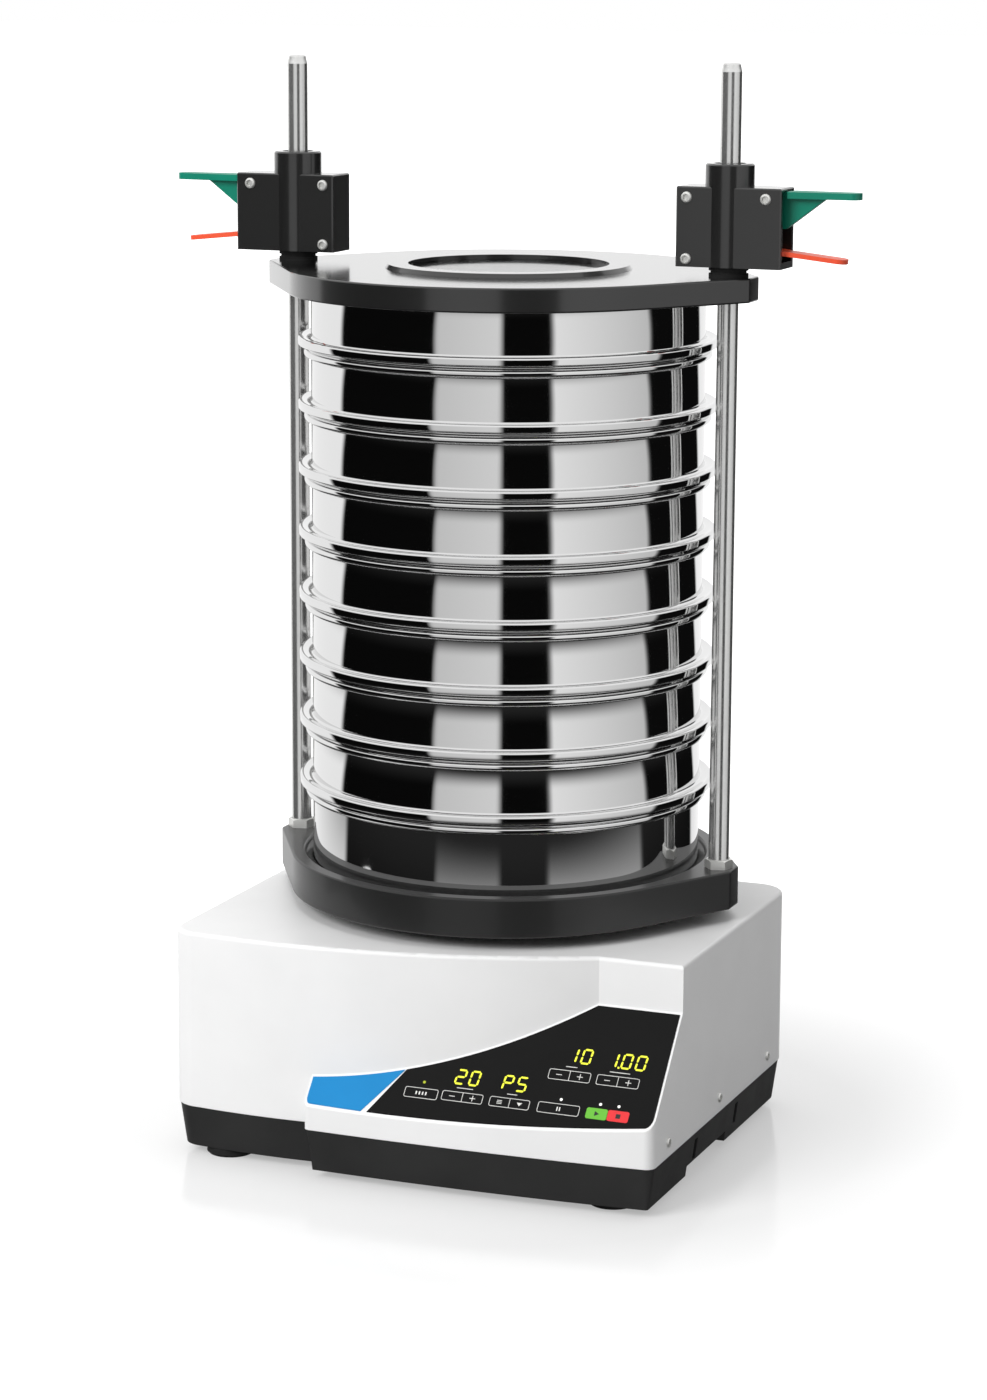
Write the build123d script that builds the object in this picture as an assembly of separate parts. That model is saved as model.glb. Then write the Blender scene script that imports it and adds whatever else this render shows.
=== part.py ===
from build123d import *
import os
from math import acos, atan2, cos, hypot, radians, sin, sqrt, tan

# A laboratory sieve shaker: a white hood on a black tray holds an electromagnetic drive,
# which shakes a black sieve plate. A collecting pan and eight nesting sieves stand on the
# plate, and a lid with a window is held down by two quick clamps that grip two guide rods.
# Millimetres, +Z up, the control panel faces -Y. Every shape is drawn about the stack axis,
# and then moved back by stack_y, so that the origin lies below the middle of the whole.

# Base: hood, tray and feet
base_width = 400.0
lip_reach = 218.5           # stack axis to the front of the panel lip, where it bows out most
lip_bow_x = -20.0           # the place where it does
lip_bow_radius = 2300.0
left_reach = 196.0          # stack axis to the front wall at the left side
face_reach = 144.0          # stack axis to the flat front wall above the panel, at the right
rear_reach = 118.0
crease_x = 133.0            # where the bowed front wall turns into the flat one
front_bow_radius = 578.0
panel_left_x = -78.0
hood_wall = 3.0
hood_height = 139.0
rear_corner = 25.0
front_corner = 22.0
lip_corner = 8.0
step_corner = 5.0
top_edge = 3.0
panel_angle = 49.0          # slope of the panel from level
panel_foot_reach = 216.0    # the slope passes through this point ahead of the stack axis
panel_foot_height = 20.5    # and this far above the hood's bottom edge
foot_height = 6.5
foot_radius = 19.0
foot_x = 158.0
foot_front = 177.0
foot_rear = 84.0
foot_bore = 4.0
tray_height = 33.0
tray_wall = 3.5
tray_floor = 3.5
tray_inset = 0.8
tray_draft = 8.0
grip_y = -71.5              # middle of the finger arch below each side of the tray
grip_length = 92.0
grip_rise = 8.0
grip_depth = 16.0
slot_middle = -54.5          # the two ventilation slots of each side, from the stack axis
slot_pitch = 97.0
slot_height = 17.0
slot_width = 7.0
slot_sill = 7.0
side_screw_middle = -55.0
side_screw_pitch = 119.0
side_screw_count = 3
side_screw_height = 11.5
side_screw_head = 3.6
side_screw_head_height = 1.6
side_screw_head_bevel = 0.6
side_screw_shank = 1.75
side_screw_length = 9.0
boot_bore = 62.0            # radius of the hole in the hood that the drive column passes

# Control panel
film_thickness = 0.5
film_margin = 1.8
film_corner = 6.0
film_split_top_x = 0.5
film_split_foot_x = -31.0
film_split_up = 42.0         # length of the slanted split, up the slope
film_split_gap_foot = 6.0
film_split_gap_top = 1.2
display_depth = 9.0
display_height = 16.0
display_play = 0.4
board_thickness = 1.6
board_length = 172.0
board_width = 74.0
board_centre_x = 104.0
board_centre_slope = 44.0
board_posts = [(30.0, 14.0), (182.0, 15.0), (186.5, 77.0), (112.0, 77.0)]
post_radius = 3.0
displays = [(47.0, 36.6, 24.0), (85.0, 36.6, 24.0), (129.5, 65.0, 24.0), (166.0, 65.0, 34.0)]

# Rear connectors
inlet_x = -130.0
inlet_z = 84.0
inlet_width = 30.0
inlet_height = 52.0
inlet_flange = 3.0
inlet_overlap = 3.0
inlet_depth = 22.0
socket_width = 24.0
socket_height = 16.0
socket_depth = 15.0
socket_drop = 13.0
contact_width = 2.0
contact_height = 4.0
contact_length = 10.0
contact_pitch = 7.0
rocker_width = 20.0
rocker_height = 12.0
rocker_lift = 15.0
rocker_play = 0.5
rocker_depth = 8.0
rocker_throw = 8.0
rocker_pin_radius = 1.2
rocker_pin = 1.6             # past each side of the rocker
rocker_pin_play = 0.1
port_x = 90.0
port_width = 31.0
port_height = 12.5
port_flange = 1.5
port_shell_width = 17.0
port_shell_height = 8.4
port_shell_length = 5.0
port_depth = 8.0
port_post_pitch = 25.0
port_post_radius = 2.6

# Drive
chassis_length = 300.0
chassis_width = 190.0
chassis_thickness = 14.0
spring_count = 3
spring_circle = 86.0
spring_block_height = 22.0
spring_block_length = 56.0
spring_block_width = 30.0
leaf_thickness = 3.0
leaf_pitch = 9.0
leaf_width = 24.0
leaf_lean = 40.0
core_width = 90.0
core_depth = 50.0
core_height = 50.0
core_yoke = 16.0
core_leg = 14.0
core_centre_leg = 28.0
coil_play = 0.5
coil_height = 28.0
magnet_gap = 3.5
armature_thickness = 15.0
carrier_radius = 108.0
carrier_thickness = 12.0
carrier_hole_circle = 62.0
carrier_hole = 16.0
column_radius = 32.0
column_bore = 22.0
column_flange_radius = 50.0
column_flange = 8.0
supply_x = -126.0
supply_length = 44.0
supply_width = 120.0
supply_height = 46.0
supply_post = 6.0
boot_wall = 1.6
boot_fold = 5.0

# Sieve plate, rods and nuts
plate_gap = 10.0
plate_radius = 170.0
plate_thickness = 30.5
plate_ear_x = 191.0
plate_ear_half = 20.0
ear_corner = 4.0
plate_edge = 1.5
plate_skirt = 8.0
plate_web = 8.0
plate_rib = 6.0
plate_rib_count = 8
plate_hub = 54.0
dish_radius = 158.0
dish_depth = 5.0
dish_bevel = 2.0
seat_play = 0.6
seat_depth = 3.0
rod_pitch = 356.0
rod_radius = 8.0
rod_top = 835.5
rod_point = 6.5
rod_point_radius = 6.8
rod_fit = 0.05
nut_flats = 19.0
nut_height = 7.0
nut_play = 0.3
nut_bevel = 1.0
bolt_circle = 41.0
bolt_count = 4
bolt_radius = 3.0
bolt_head_radius = 5.0
bolt_head = 3.0
bolt_play = 0.3

# Pan and sieves
sieve_count = 8
body_radius = 152.4         # a twelve inch test sieve
sheet = 1.0
nest_pitch = 49.2
pan_height = 63.5
pan_corner = 4.0
bead_radius = 158.0
bead_height = 6.0
bead_bevel = 1.8
groove_radius = 155.5
groove_height = 3.2
flange_radius = 162.5
flange_edge = 1.2
flare_height = 6.5
flare_waist = 2.2           # how far the flare's inner bend stands out from the wall
skirt_play = 0.4
skirt_depth = 9.0
ledge_height = 1.2
mesh_thickness = 0.6
mesh_play = 0.2

# Lid
lid_radius = 171.0
lid_thickness = 18.5
lid_ear_x = 204.5
lid_ear_half = 23.0
lid_edge = 1.5
lid_recess_radius = 160.5
lid_overlap = 9.6           # how far the lid reaches down past the top sieve's rim
lid_seal_thickness = 2.0
lid_seal_width = 6.0
lid_rod_play = 1.0
window_opening = 72.0
window_radius = 88.0
window_thickness = 4.0
window_play = 0.3
ring_inner = 77.5
ring_outer = 95.5
ring_height = 3.5
ring_bevel = 2.0

# Quick clamps
clamp_outer = 45.5          # from the rod outwards
clamp_inner = 37.0
clamp_depth = 33.0
clamp_height = 60.0
clamp_boss_radius = 18.7
collar_height = 17.0
collar_bevel = 1.2
clamp_edge = 1.0
cavity_width = 24.0
cavity_floor = 5.0
cavity_roof = 2.0
cavity_inner = 30.0
bush_radius = 12.0
bush_flange_radius = 15.0
bush_foot = 7.5
bush_top_length = 12.0
bush_rib = 2.4
bush_rib_depth = 1.4
bush_bevel = 0.8
screw_outer_x = 33.5
screw_inner_x = -28.5
screw_upper = 8.0           # below the clamp's top face
screw_lower = 6.0           # above its bottom face
screw_radius = 2.5
screw_head_radius = 4.2
screw_head = 2.2
screw_head_bevel = 0.9
screw_tail = 1.0             # how far the shank's end stands out behind
pivot_fit = 0.05
release_reach = 102.8       # green lever, rod axis to its tip
release_thickness = 5.0
release_width = 20.0
release_web = 6.0
release_web_reach = 76.0
release_web_drop = 28.0
release_hub = 5.5
release_root = 48.0
release_drop = 2.4          # paddle's top below the clamp's top face
release_toe_x = 16.0        # the hidden finger's toe, from the rod axis
release_toe_radius = 2.5
release_toe_play = 0.3
release_elbow_x = 29.0
brake_reach = 93.0          # red lever, rod axis to its tip
brake_thickness = 3.5
brake_width = 17.0
brake_tip_radius = 7.0
brake_tilt = 6.0
brake_level = 11.5          # plate's middle at the outer end of the clamp, above its bottom face
brake_play = 0.6
brake_rod_play = 1.0
brake_heel = 28.5
grip_plate_level = 40.5
grip_plate_thickness = 4.0
grip_plate_outer = 22.0
grip_plate_inner = 14.0
grip_plate_play = 0.6
grip_plate_rod_play = 0.5

# Levels that follow from the sizes above
stack_y = (lip_reach - lid_radius) / 2
tray_z = foot_height
hood_z = tray_z + tray_height
hood_top = hood_z + hood_height
plate_z = hood_top + plate_gap
plate_top = plate_z + plate_thickness
dish_z = plate_top - dish_depth
pan_z = dish_z - seat_depth
first_seat = pan_z + pan_height
last_seat = first_seat + sieve_count * nest_pitch
lid_z = last_seat - lid_overlap
lid_top = lid_z + lid_thickness
clamp_z = lid_top + bush_foot
clamp_top = clamp_z + clamp_height
collar_top = clamp_top + collar_height
chassis_z = tray_z + tray_floor
chassis_top = chassis_z + chassis_thickness
leaf_foot = chassis_top + spring_block_height
core_top = chassis_top + core_height
armature_z = core_top + magnet_gap
carrier_z = armature_z + armature_thickness
carrier_top = carrier_z + carrier_thickness
panel_foot_z = hood_z + panel_foot_height
inner_radius = body_radius - sheet
skirt_radius = inner_radius - skirt_play
rod_x = rod_pitch / 2
slope = tan(radians(panel_angle))


def revolve_profile(points):
    """Turn a closed outline of (radius, height) points about the stack axis."""
    return revolve(Plane.XZ * make_face(Polyline(*points, close=True)), Axis.Z)


def upright(plan, low, high):
    """Raise a flat plan from one level to another."""
    return extrude(Pos(0, 0, low) * plan, high - low)


def box_between(low, high):
    """A box from its lowest to its highest corner."""
    size = [b - a for a, b in zip(low, high)]
    middle = [(a + b) / 2 for a, b in zip(low, high)]
    return Pos(*middle) * Box(*size)


def rod_cylinder(x, y, low, high, radius):
    """An upright cylinder at x, y."""
    return Pos(x, y, (low + high) / 2) * Cylinder(radius, high - low)


def cross_cylinder(x, z, half_length, radius):
    """A cylinder along Y, centred on y = 0."""
    return Pos(x, 0, z) * Rot(90, 0, 0) * Cylinder(radius, 2 * half_length)


def ring(low, high, inner, outer):
    """A plain ring about the stack axis."""
    return rod_cylinder(0, 0, low, high, outer) - rod_cylinder(0, 0, low, high, inner)


def on_circle(shape, count, first_angle=0.0):
    """Copies of a shape, spaced evenly round the stack axis."""
    return [Rot(0, 0, first_angle + i * 360 / count) * shape for i in range(count)]


def solids_of(shape):
    """All solids of a shape, or of each shape in a list."""
    if isinstance(shape, (list, tuple)):
        return [s for item in shape for s in solids_of(item)]
    return list(shape.solids())


def write(name, shape):
    """Move a node back to the shared origin and write it."""
    placed = [Pos(0, stack_y, 0) * s for s in solids_of(shape)]
    whole = placed[0] if len(placed) == 1 else Compound(placed)
    export_step(whole, f"parts/{name}.step")


# Base plans

def upper_plan():
    """Plan of the hood above the panel: square at the back, bowed at the front left."""
    half = base_width / 2
    front_left = (-half, -left_reach)
    crease = (crease_x, -face_reach)
    bow = RadiusArc(front_left, crease, -front_bow_radius)
    rest = Polyline(crease, (half, -face_reach), (half, rear_reach), (-half, rear_reach), front_left)
    plan = make_face([bow, rest])
    rear = plan.vertices().filter_by(lambda v: v.Y > 0)
    plan = fillet(rear, rear_corner)
    left = plan.vertices().sort_by_distance((-half, -left_reach, 0))[0]
    return fillet(left, front_corner)


def lip_at(x):
    """Reach of the bowed lip ahead of the stack axis at x."""
    return lip_reach - lip_bow_radius + sqrt(lip_bow_radius**2 - (x - lip_bow_x)**2)


def panel_plan():
    """Plan of the block that carries the sloping panel."""
    half = base_width / 2
    back = -face_reach + top_edge + hood_wall
    front_left = (panel_left_x, -lip_at(panel_left_x))
    front_right = (half, -lip_at(half))
    lip = RadiusArc(front_left, front_right, -lip_bow_radius)
    rest = Polyline(front_right, (half, back), (panel_left_x, back), front_left)
    plan = make_face([lip, rest])
    right = plan.vertices().sort_by_distance((*front_right, 0))[0]
    plan = fillet(right, lip_corner)
    left = plan.vertices().sort_by_distance((*front_left, 0))[0]
    return fillet(left, step_corner)


def slope_z(reach, lift=0.0):
    """Height of the panel slope at a reach ahead of the stack axis, raised square to itself."""
    return panel_foot_z + (panel_foot_reach - reach) * slope + lift / cos(radians(panel_angle))


def below_slope(lift=0.0):
    """Everything under the panel slope, as a wide prism."""
    near, far = lip_reach + 20, face_reach - 40
    outline = [(-near, hood_z - 1), (-far, hood_z - 1), (-far, slope_z(far, lift)), (-near, slope_z(near, lift))]
    side = Plane.YZ * make_face(Polyline(*outline, close=True))
    return extrude(side, base_width, both=True)


def slope_slab(thickness):
    """A slab of the given thickness that lies on the panel slope."""
    near, far = lip_reach + 20, face_reach - 40
    outline = [(-near, slope_z(near)), (-far, slope_z(far)), (-far, slope_z(far, thickness)),
               (-near, slope_z(near, thickness))]
    return extrude(Plane.YZ * make_face(Polyline(*outline, close=True)), base_width, both=True)


def slope_location(x, up):
    """Frame on the panel slope, x across it and up along it from the foot line."""
    foot = Plane(origin=(0, -panel_foot_reach, panel_foot_z), x_dir=(1, 0, 0),
                 z_dir=(0, -sin(radians(panel_angle)), cos(radians(panel_angle))))
    return foot * Pos(x, up, 0)


def hood_core(inset):
    """The hood's solid form, with its walls moved in by inset."""
    top = hood_top - inset
    tall_plan = offset(upper_plan(), -inset) if inset else upper_plan()
    low_plan = offset(panel_plan(), -inset) if inset else panel_plan()
    tall = upright(tall_plan, hood_z, top)
    block = upright(low_plan, hood_z, top) & below_slope(-inset)
    return tall + block


def build_hood():
    """White moulded hood, open below, with every cut-out that the panel and rear need."""
    outer = hood_core(0)
    top_edges = outer.edges().filter_by(lambda e: e.center().Z > hood_top - 0.01)
    outer = fillet(top_edges, top_edge)
    hood = outer - hood_core(hood_wall)
    hood -= rod_cylinder(0, 0, hood_top - 2 * hood_wall, hood_top + 1, boot_bore)
    for x, up, width in displays:
        hole = Box(width + display_play, display_height + display_play, 4 * hood_wall)
        hood -= slope_location(x, up) * hole
    hood -= rear_cut(inlet_x, inlet_z, inlet_width, inlet_height)
    hood -= rear_cut(port_x, inlet_z, port_shell_width + 2, port_shell_height + 2)
    for y, z, side in side_screw_places():
        hood -= Pos(side * base_width / 2, y, z) * Rot(0, 90, 0) * Cylinder(side_screw_shank + 0.2, 4 * hood_wall)
    return hood


def rear_cut(x, z, width, height):
    """A cut through the hood's rear wall."""
    return Pos(x, rear_reach, z) * Box(width, 4 * hood_wall, height)


def side_screw_places():
    """Where the hood's screws stand, on both sides."""
    steps = [i - (side_screw_count - 1) / 2 for i in range(side_screw_count)]
    z = hood_z + side_screw_height
    return [(side_screw_middle + step * side_screw_pitch, z, side) for side in (-1, 1) for step in steps]


def build_side_screws():
    """Pan-head screws that hold the hood to the tray's upstand."""
    screws = []
    for y, z, side in side_screw_places():
        head = Cylinder(side_screw_head, side_screw_head_height, align=(Align.CENTER, Align.CENTER, Align.MIN))
        head = chamfer(head.edges().sort_by(Axis.Z)[-1], side_screw_head_bevel)
        shank = Pos(0, 0, -side_screw_length) * Cylinder(
            side_screw_shank, side_screw_length, align=(Align.CENTER, Align.CENTER, Align.MIN))
        screws.append(Pos(side * base_width / 2, y, z) * Rot(0, side * 90, 0) * (head + shank))
    return screws


def whole_plan():
    """Plan of the hood's bottom edge."""
    return upper_plan() + panel_plan()


def build_tray():
    """Black tray under the hood, drafted inwards, with finger arches and side slots."""
    plan = offset(whole_plan(), -tray_inset)
    tray = extrude(Pos(0, 0, hood_z) * plan, -tray_height, taper=tray_draft)
    inner = offset(whole_plan(), -tray_inset - tray_wall)
    cavity = extrude(Pos(0, 0, hood_z) * inner, -(tray_height - tray_floor), taper=tray_draft)
    half = base_width / 2
    for side in (-1, 1):
        arch_middle = (side * half, grip_y, tray_z)
        arch = Pos(*arch_middle) * Box(2 * grip_depth, grip_length, 2 * grip_rise)
        hump = Pos(*arch_middle) * Box(
            2 * (grip_depth + tray_wall), grip_length + 2 * tray_wall, 2 * (grip_rise + tray_floor))
        tray -= arch
        cavity -= hump
    tray -= cavity
    for side in (-1, 1):
        for step in (-0.5, 0.5):
            y = slot_middle + step * slot_pitch
            z = hood_z - slot_sill - slot_height / 2
            tray -= Pos(side * half, y, z) * Box(4 * tray_wall, slot_width, slot_height)
    for x, y in foot_places():
        tray -= rod_cylinder(x, y, tray_z - 1, tray_z + tray_floor + 1, foot_bore)
    return tray


def foot_places():
    """Centres of the four feet."""
    return [(x, y) for x in (-foot_x, foot_x) for y in (-foot_front, foot_rear)]


def build_feet():
    """Round rubber feet, each with a stem that snaps through the tray's floor."""
    outline = [(0, 0), (foot_radius - 1.5, 0), (foot_radius, 1.5), (foot_radius - 1, foot_height),
               (foot_bore - 0.2, foot_height), (foot_bore - 0.2, foot_height + tray_floor),
               (0, foot_height + tray_floor)]
    foot = revolve_profile(outline)
    return [Pos(x, y, 0) * foot for x, y in foot_places()]


# Control panel

def build_films():
    """The black panel film and the blue field beside it, which follow the hood's bowed wall."""
    clear = panel_plan() - offset(upper_plan(), 0.01)
    clear = offset(clear, -film_margin)
    corners = clear.vertices().sort_by(Axis.Y)[:4]
    clear = fillet(corners.sort_by(Axis.X)[-1], film_corner)
    sheet_film = upright(clear, hood_z, hood_top) & slope_slab(film_thickness)
    top_up = (panel_foot_reach - face_reach) / cos(radians(panel_angle))
    lean = (film_split_top_x - film_split_foot_x) / film_split_up
    outer_x = film_split_foot_x + lean * top_up
    black_side = make_face(Polyline(
        (film_split_foot_x, -10), (base_width, -10), (base_width, top_up + 20), (outer_x, top_up + 20),
        close=True))
    blue_side = make_face(Polyline(
        (film_split_foot_x - film_split_gap_foot, -10), (-base_width, -10), (-base_width, top_up),
        (film_split_top_x - film_split_gap_top, film_split_up), close=True))
    black = sheet_film & extrude(slope_location(0, 0) * black_side, 5, both=True)
    blue = sheet_film & extrude(slope_location(0, 0) * blue_side, 5, both=True)
    return black, blue


def build_displays():
    """Display modules in the hood's cut-outs, flush with its slope under the film."""
    block = Pos(0, 0, -display_depth / 2)
    return [slope_location(x, up) * block * Box(width, display_height, display_depth)
            for x, up, width in displays]


def build_board():
    """Circuit board behind the panel, on posts that stand off the hood's wall."""
    plate = slope_location(board_centre_x, board_centre_slope) * Pos(0, 0, -display_depth - board_thickness / 2)
    board = plate * Box(board_length, board_width, board_thickness)
    for x, up in board_posts:
        board += slope_location(x, up) * Pos(0, 0, -(display_depth + hood_wall) / 2) * Cylinder(
            post_radius, display_depth - hood_wall)
    return board


# Rear connectors

def build_inlet():
    """Mains inlet with three contacts below and the switch's opening above."""
    y = rear_reach
    flange = Pos(inlet_x, y + inlet_flange / 2, inlet_z) * Box(
        inlet_width + 2 * inlet_overlap, inlet_flange, inlet_height + 2 * inlet_overlap)
    flange = chamfer(flange.edges().group_by(Axis.Y)[-1], 1.0)
    body = Pos(inlet_x, y - inlet_depth / 2, inlet_z) * Box(inlet_width - 0.6, inlet_depth, inlet_height - 0.6)
    module = flange + body
    mouth_y = y + inlet_flange
    socket_z = inlet_z - socket_drop
    module -= Pos(inlet_x, mouth_y - socket_depth / 2, socket_z) * Box(socket_width, socket_depth, socket_height)
    for step, rise in ((-1, -2.0), (0, 2.0), (1, -2.0)):
        x = inlet_x + step * contact_pitch
        y_mid = mouth_y - socket_depth + contact_length / 2
        module += Pos(x, y_mid, socket_z + rise) * Box(contact_width, contact_length, contact_height)
    opening = (rocker_width + 2 * rocker_play, inlet_flange + rocker_depth + 5, rocker_height + 2 * rocker_play)
    module -= Pos(inlet_x, mouth_y - opening[1] / 2, inlet_z + rocker_lift) * Box(*opening)
    return module - rocker_axle(rocker_pin_radius + rocker_pin_play, rocker_pin + rocker_pin_play)


def rocker_axle(radius, past):
    """Pins on the rocker's axis, drawn as one cylinder along X."""
    y, z = rocker_pivot()
    return Pos(inlet_x, y, z) * Rot(0, 90, 0) * Cylinder(radius, rocker_width + 2 * past)


def rocker_pivot():
    """Axis of the mains rocker, along X."""
    return rear_reach + inlet_flange - 4.0, inlet_z + rocker_lift


def build_rocker():
    """Rocker of the mains switch, drawn level and then pressed in at its lower end."""
    half = rocker_height / 2
    outline = [(-half + 0.8, -4.0), (half - 0.8, -4.0), (half, 0), (half - 0.4, 4.4), (0, 2.6), (-half + 0.4, 4.4),
               (-half, 0)]
    side = make_face(Polyline(*[(out, up) for up, out in outline], close=True))
    body = extrude(Plane.YZ * side, rocker_width / 2, both=True)
    y, z = rocker_pivot()
    return Pos(inlet_x, y, z) * Rot(rocker_throw, 0, 0) * body + rocker_axle(rocker_pin_radius, rocker_pin)


def build_port():
    """Nine-way data socket with its two hexagonal posts."""
    flange = Pos(port_x, rear_reach + port_flange / 2, inlet_z) * Box(port_width, port_flange, port_height)
    shell = Pos(port_x, rear_reach + port_flange + port_shell_length / 2, inlet_z) * Box(
        port_shell_width, port_shell_length, port_shell_height)
    body = Pos(port_x, rear_reach - port_depth / 2, inlet_z) * Box(port_shell_width, port_depth, port_shell_height)
    port = flange + fillet(shell.edges().filter_by(Axis.Y), 1.5) + body
    for side in (-1, 1):
        hexagon = Plane.XZ * RegularPolygon(port_post_radius, 6)
        post = extrude(hexagon, -port_shell_length)
        port += Pos(port_x + side * port_post_pitch / 2, rear_reach + port_flange, inlet_z) * post
    return port


# Drive

def build_chassis():
    """Steel base plate with the three welded blocks that carry the leaf springs."""
    plate = Pos(0, 0, (chassis_z + chassis_top) / 2) * Box(chassis_length, chassis_width, chassis_thickness)
    plate = chamfer(plate.edges().filter_by(Axis.Z), 20)
    block = Pos(spring_circle, 0, chassis_top + spring_block_height / 2) * Box(
        spring_block_width, spring_block_length, spring_block_height)
    for copy in on_circle(block, spring_count, 90):
        plate += copy
    low, high = chassis_top, chassis_top + supply_post
    for sy in (-1, 1):
        plate += rod_cylinder(supply_x, sy * (supply_width / 2 - 10), low, high, 5)
    return plate


def build_leaves():
    """Leaning leaf springs: as they bend, the carrier rises and turns a little."""
    rise = carrier_z - leaf_foot
    shift = rise * tan(radians(leaf_lean))
    outline = [(-leaf_thickness / 2 - shift / 2, 0), (leaf_thickness / 2 - shift / 2, 0),
               (leaf_thickness / 2 + shift / 2, rise), (-leaf_thickness / 2 + shift / 2, rise)]
    side = Plane.YZ * make_face(Polyline(*outline, close=True))
    leaf = extrude(side, leaf_width / 2, both=True)
    pack = [Pos(spring_circle, step * leaf_pitch, leaf_foot) * leaf for step in (-0.5, 0.5)]
    return [copy for leaf_solid in pack for copy in on_circle(leaf_solid, spring_count, 90)]


def build_core():
    """E-shaped laminated magnet core, legs up."""
    low = chassis_top
    core = Pos(0, 0, low + core_height / 2) * Box(core_width, core_depth, core_height)
    window = (core_width - 2 * core_leg - core_centre_leg) / 2
    for side in (-1, 1):
        x = side * (core_centre_leg + window) / 2
        core -= Pos(x, 0, low + core_yoke + core_height / 2) * Box(window, core_depth + 2, core_height)
    return core


def build_coil():
    """Copper coil round the core's middle leg."""
    window = (core_width - 2 * core_leg - core_centre_leg) / 2
    inner = core_centre_leg / 2 + coil_play
    wall = window - 2 * coil_play
    low = chassis_top + core_yoke
    z = low + coil_height / 2
    outer_box = Box(2 * (inner + wall), core_depth + 2 * (coil_play + wall), coil_height)
    outer_box = fillet(outer_box.edges().filter_by(Axis.Z), 6)
    inner_box = Box(2 * inner, core_depth + 2 * coil_play, coil_height + 2)
    return Pos(0, 0, z) * (outer_box - inner_box)


def build_armature():
    """Steel armature over the magnet's legs, bolted under the carrier."""
    block = Box(core_width, core_depth, armature_thickness)
    block = chamfer(block.edges().group_by(Axis.Z)[0], 2)
    return Pos(0, 0, armature_z + armature_thickness / 2) * block


def build_carrier():
    """Aluminium disc that joins springs, armature and column."""
    disc = rod_cylinder(0, 0, carrier_z, carrier_top, carrier_radius)
    hole = rod_cylinder(carrier_hole_circle, 0, carrier_z - 1, carrier_top + 1, carrier_hole)
    for copy in on_circle(hole, spring_count, -90):
        disc -= copy
    return disc


def build_column():
    """Hollow column from the carrier up through the hood to the sieve plate's hub."""
    top = plate_z
    outline = [(column_bore, carrier_top), (column_flange_radius, carrier_top),
               (column_flange_radius, carrier_top + column_flange), (column_radius, carrier_top + 2 * column_flange),
               (column_radius, top - 2 * column_flange), (column_flange_radius, top - column_flange),
               (column_flange_radius, top), (column_bore, top)]
    column = revolve_profile(outline)
    for hole in bolt_holes(top - column_flange - 1, top + 1, bolt_radius):
        column -= hole
    return column


def bolt_holes(low, high, radius):
    """Cylinders on the bolt circle between sieve plate and column."""
    return on_circle(rod_cylinder(bolt_circle, 0, low, high, radius), bolt_count, 45)


def build_supply():
    """Power supply: a shrouded block with a finned heat sink, on two posts of the chassis."""
    low = chassis_top + supply_post
    box = box_between((supply_x - supply_length / 2, -supply_width / 2, low),
                      (supply_x + supply_length / 2, supply_width / 2, low + supply_height * 0.6))
    fin_count = 6
    for i in range(fin_count):
        x = supply_x - supply_length / 2 + (i + 0.5) * supply_length / fin_count
        box += box_between((x - 1.2, -supply_width / 2, low), (x + 1.2, supply_width / 2, low + supply_height))
    return box


def build_boot():
    """Folded rubber boot that closes the gap between hood and sieve plate."""
    inner, outer = boot_bore + 1.5, boot_bore + 1.5 + boot_wall
    low, high, middle = hood_top, plate_z, (hood_top + plate_z) / 2
    outline = [(inner, low), (outer, low), (outer + boot_fold, middle), (outer, high), (inner, high),
               (inner + boot_fold, middle)]
    return revolve_profile(outline)


# Sieve plate and rods

def ear_plan(radius, ear_x, ear_half):
    """A round plate with an ear at each side, whose flanks run tangent to the circle."""
    reach = hypot(ear_x, ear_half)
    swing = atan2(ear_half, ear_x) + acos(radius / reach)
    tangent = (radius * cos(swing), radius * sin(swing))
    corners = [(ear_x, -ear_half), (ear_x, ear_half), tangent, (-tangent[0], tangent[1]), (-ear_x, ear_half),
               (-ear_x, -ear_half), (-tangent[0], -tangent[1]), (tangent[0], -tangent[1])]
    plan = Circle(radius) + make_face(Polyline(*corners, close=True))
    return fillet(plan.vertices().filter_by(lambda v: abs(v.X) > ear_x - 0.1), ear_corner)


def build_plate():
    """Cast sieve plate: dished seat for the pan on top, ribbed and hollow below."""
    plate = upright(ear_plan(plate_radius, plate_ear_x, plate_ear_half), plate_z, plate_top)
    rim_edges = plate.edges().filter_by(lambda e: abs(e.center().Z - plate_top) < 0.01)
    plate = chamfer(rim_edges, plate_edge)
    dish = [(0, pan_z), (body_radius + seat_play, pan_z), (body_radius + seat_play, dish_z), (dish_radius, dish_z),
            (dish_radius, plate_top - dish_bevel), (dish_radius + dish_bevel, plate_top), (0, plate_top)]
    plate -= revolve_profile(dish)
    hollow_top = pan_z - plate_web
    hollow = ring(plate_z, hollow_top, plate_hub, plate_radius - plate_skirt)
    rib = box_between((plate_hub - 1, -plate_rib / 2, plate_z), (plate_radius, plate_rib / 2, hollow_top))
    for copy in on_circle(rib, plate_rib_count, 180 / plate_rib_count):
        hollow -= copy
    for side in (-1, 1):
        hollow -= rod_cylinder(side * rod_x, 0, plate_z, hollow_top, rod_radius + plate_skirt)
    plate -= hollow
    for side in (-1, 1):
        plate -= rod_cylinder(side * rod_x, 0, plate_z - 1, plate_top + 1, rod_radius + rod_fit)
    for hole in bolt_holes(plate_z - 1, pan_z + 1, bolt_radius + bolt_play):
        plate -= hole
    for well in bolt_holes(pan_z - bolt_head - 1, pan_z + 1, bolt_head_radius + bolt_play):
        plate -= well
    return plate


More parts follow.
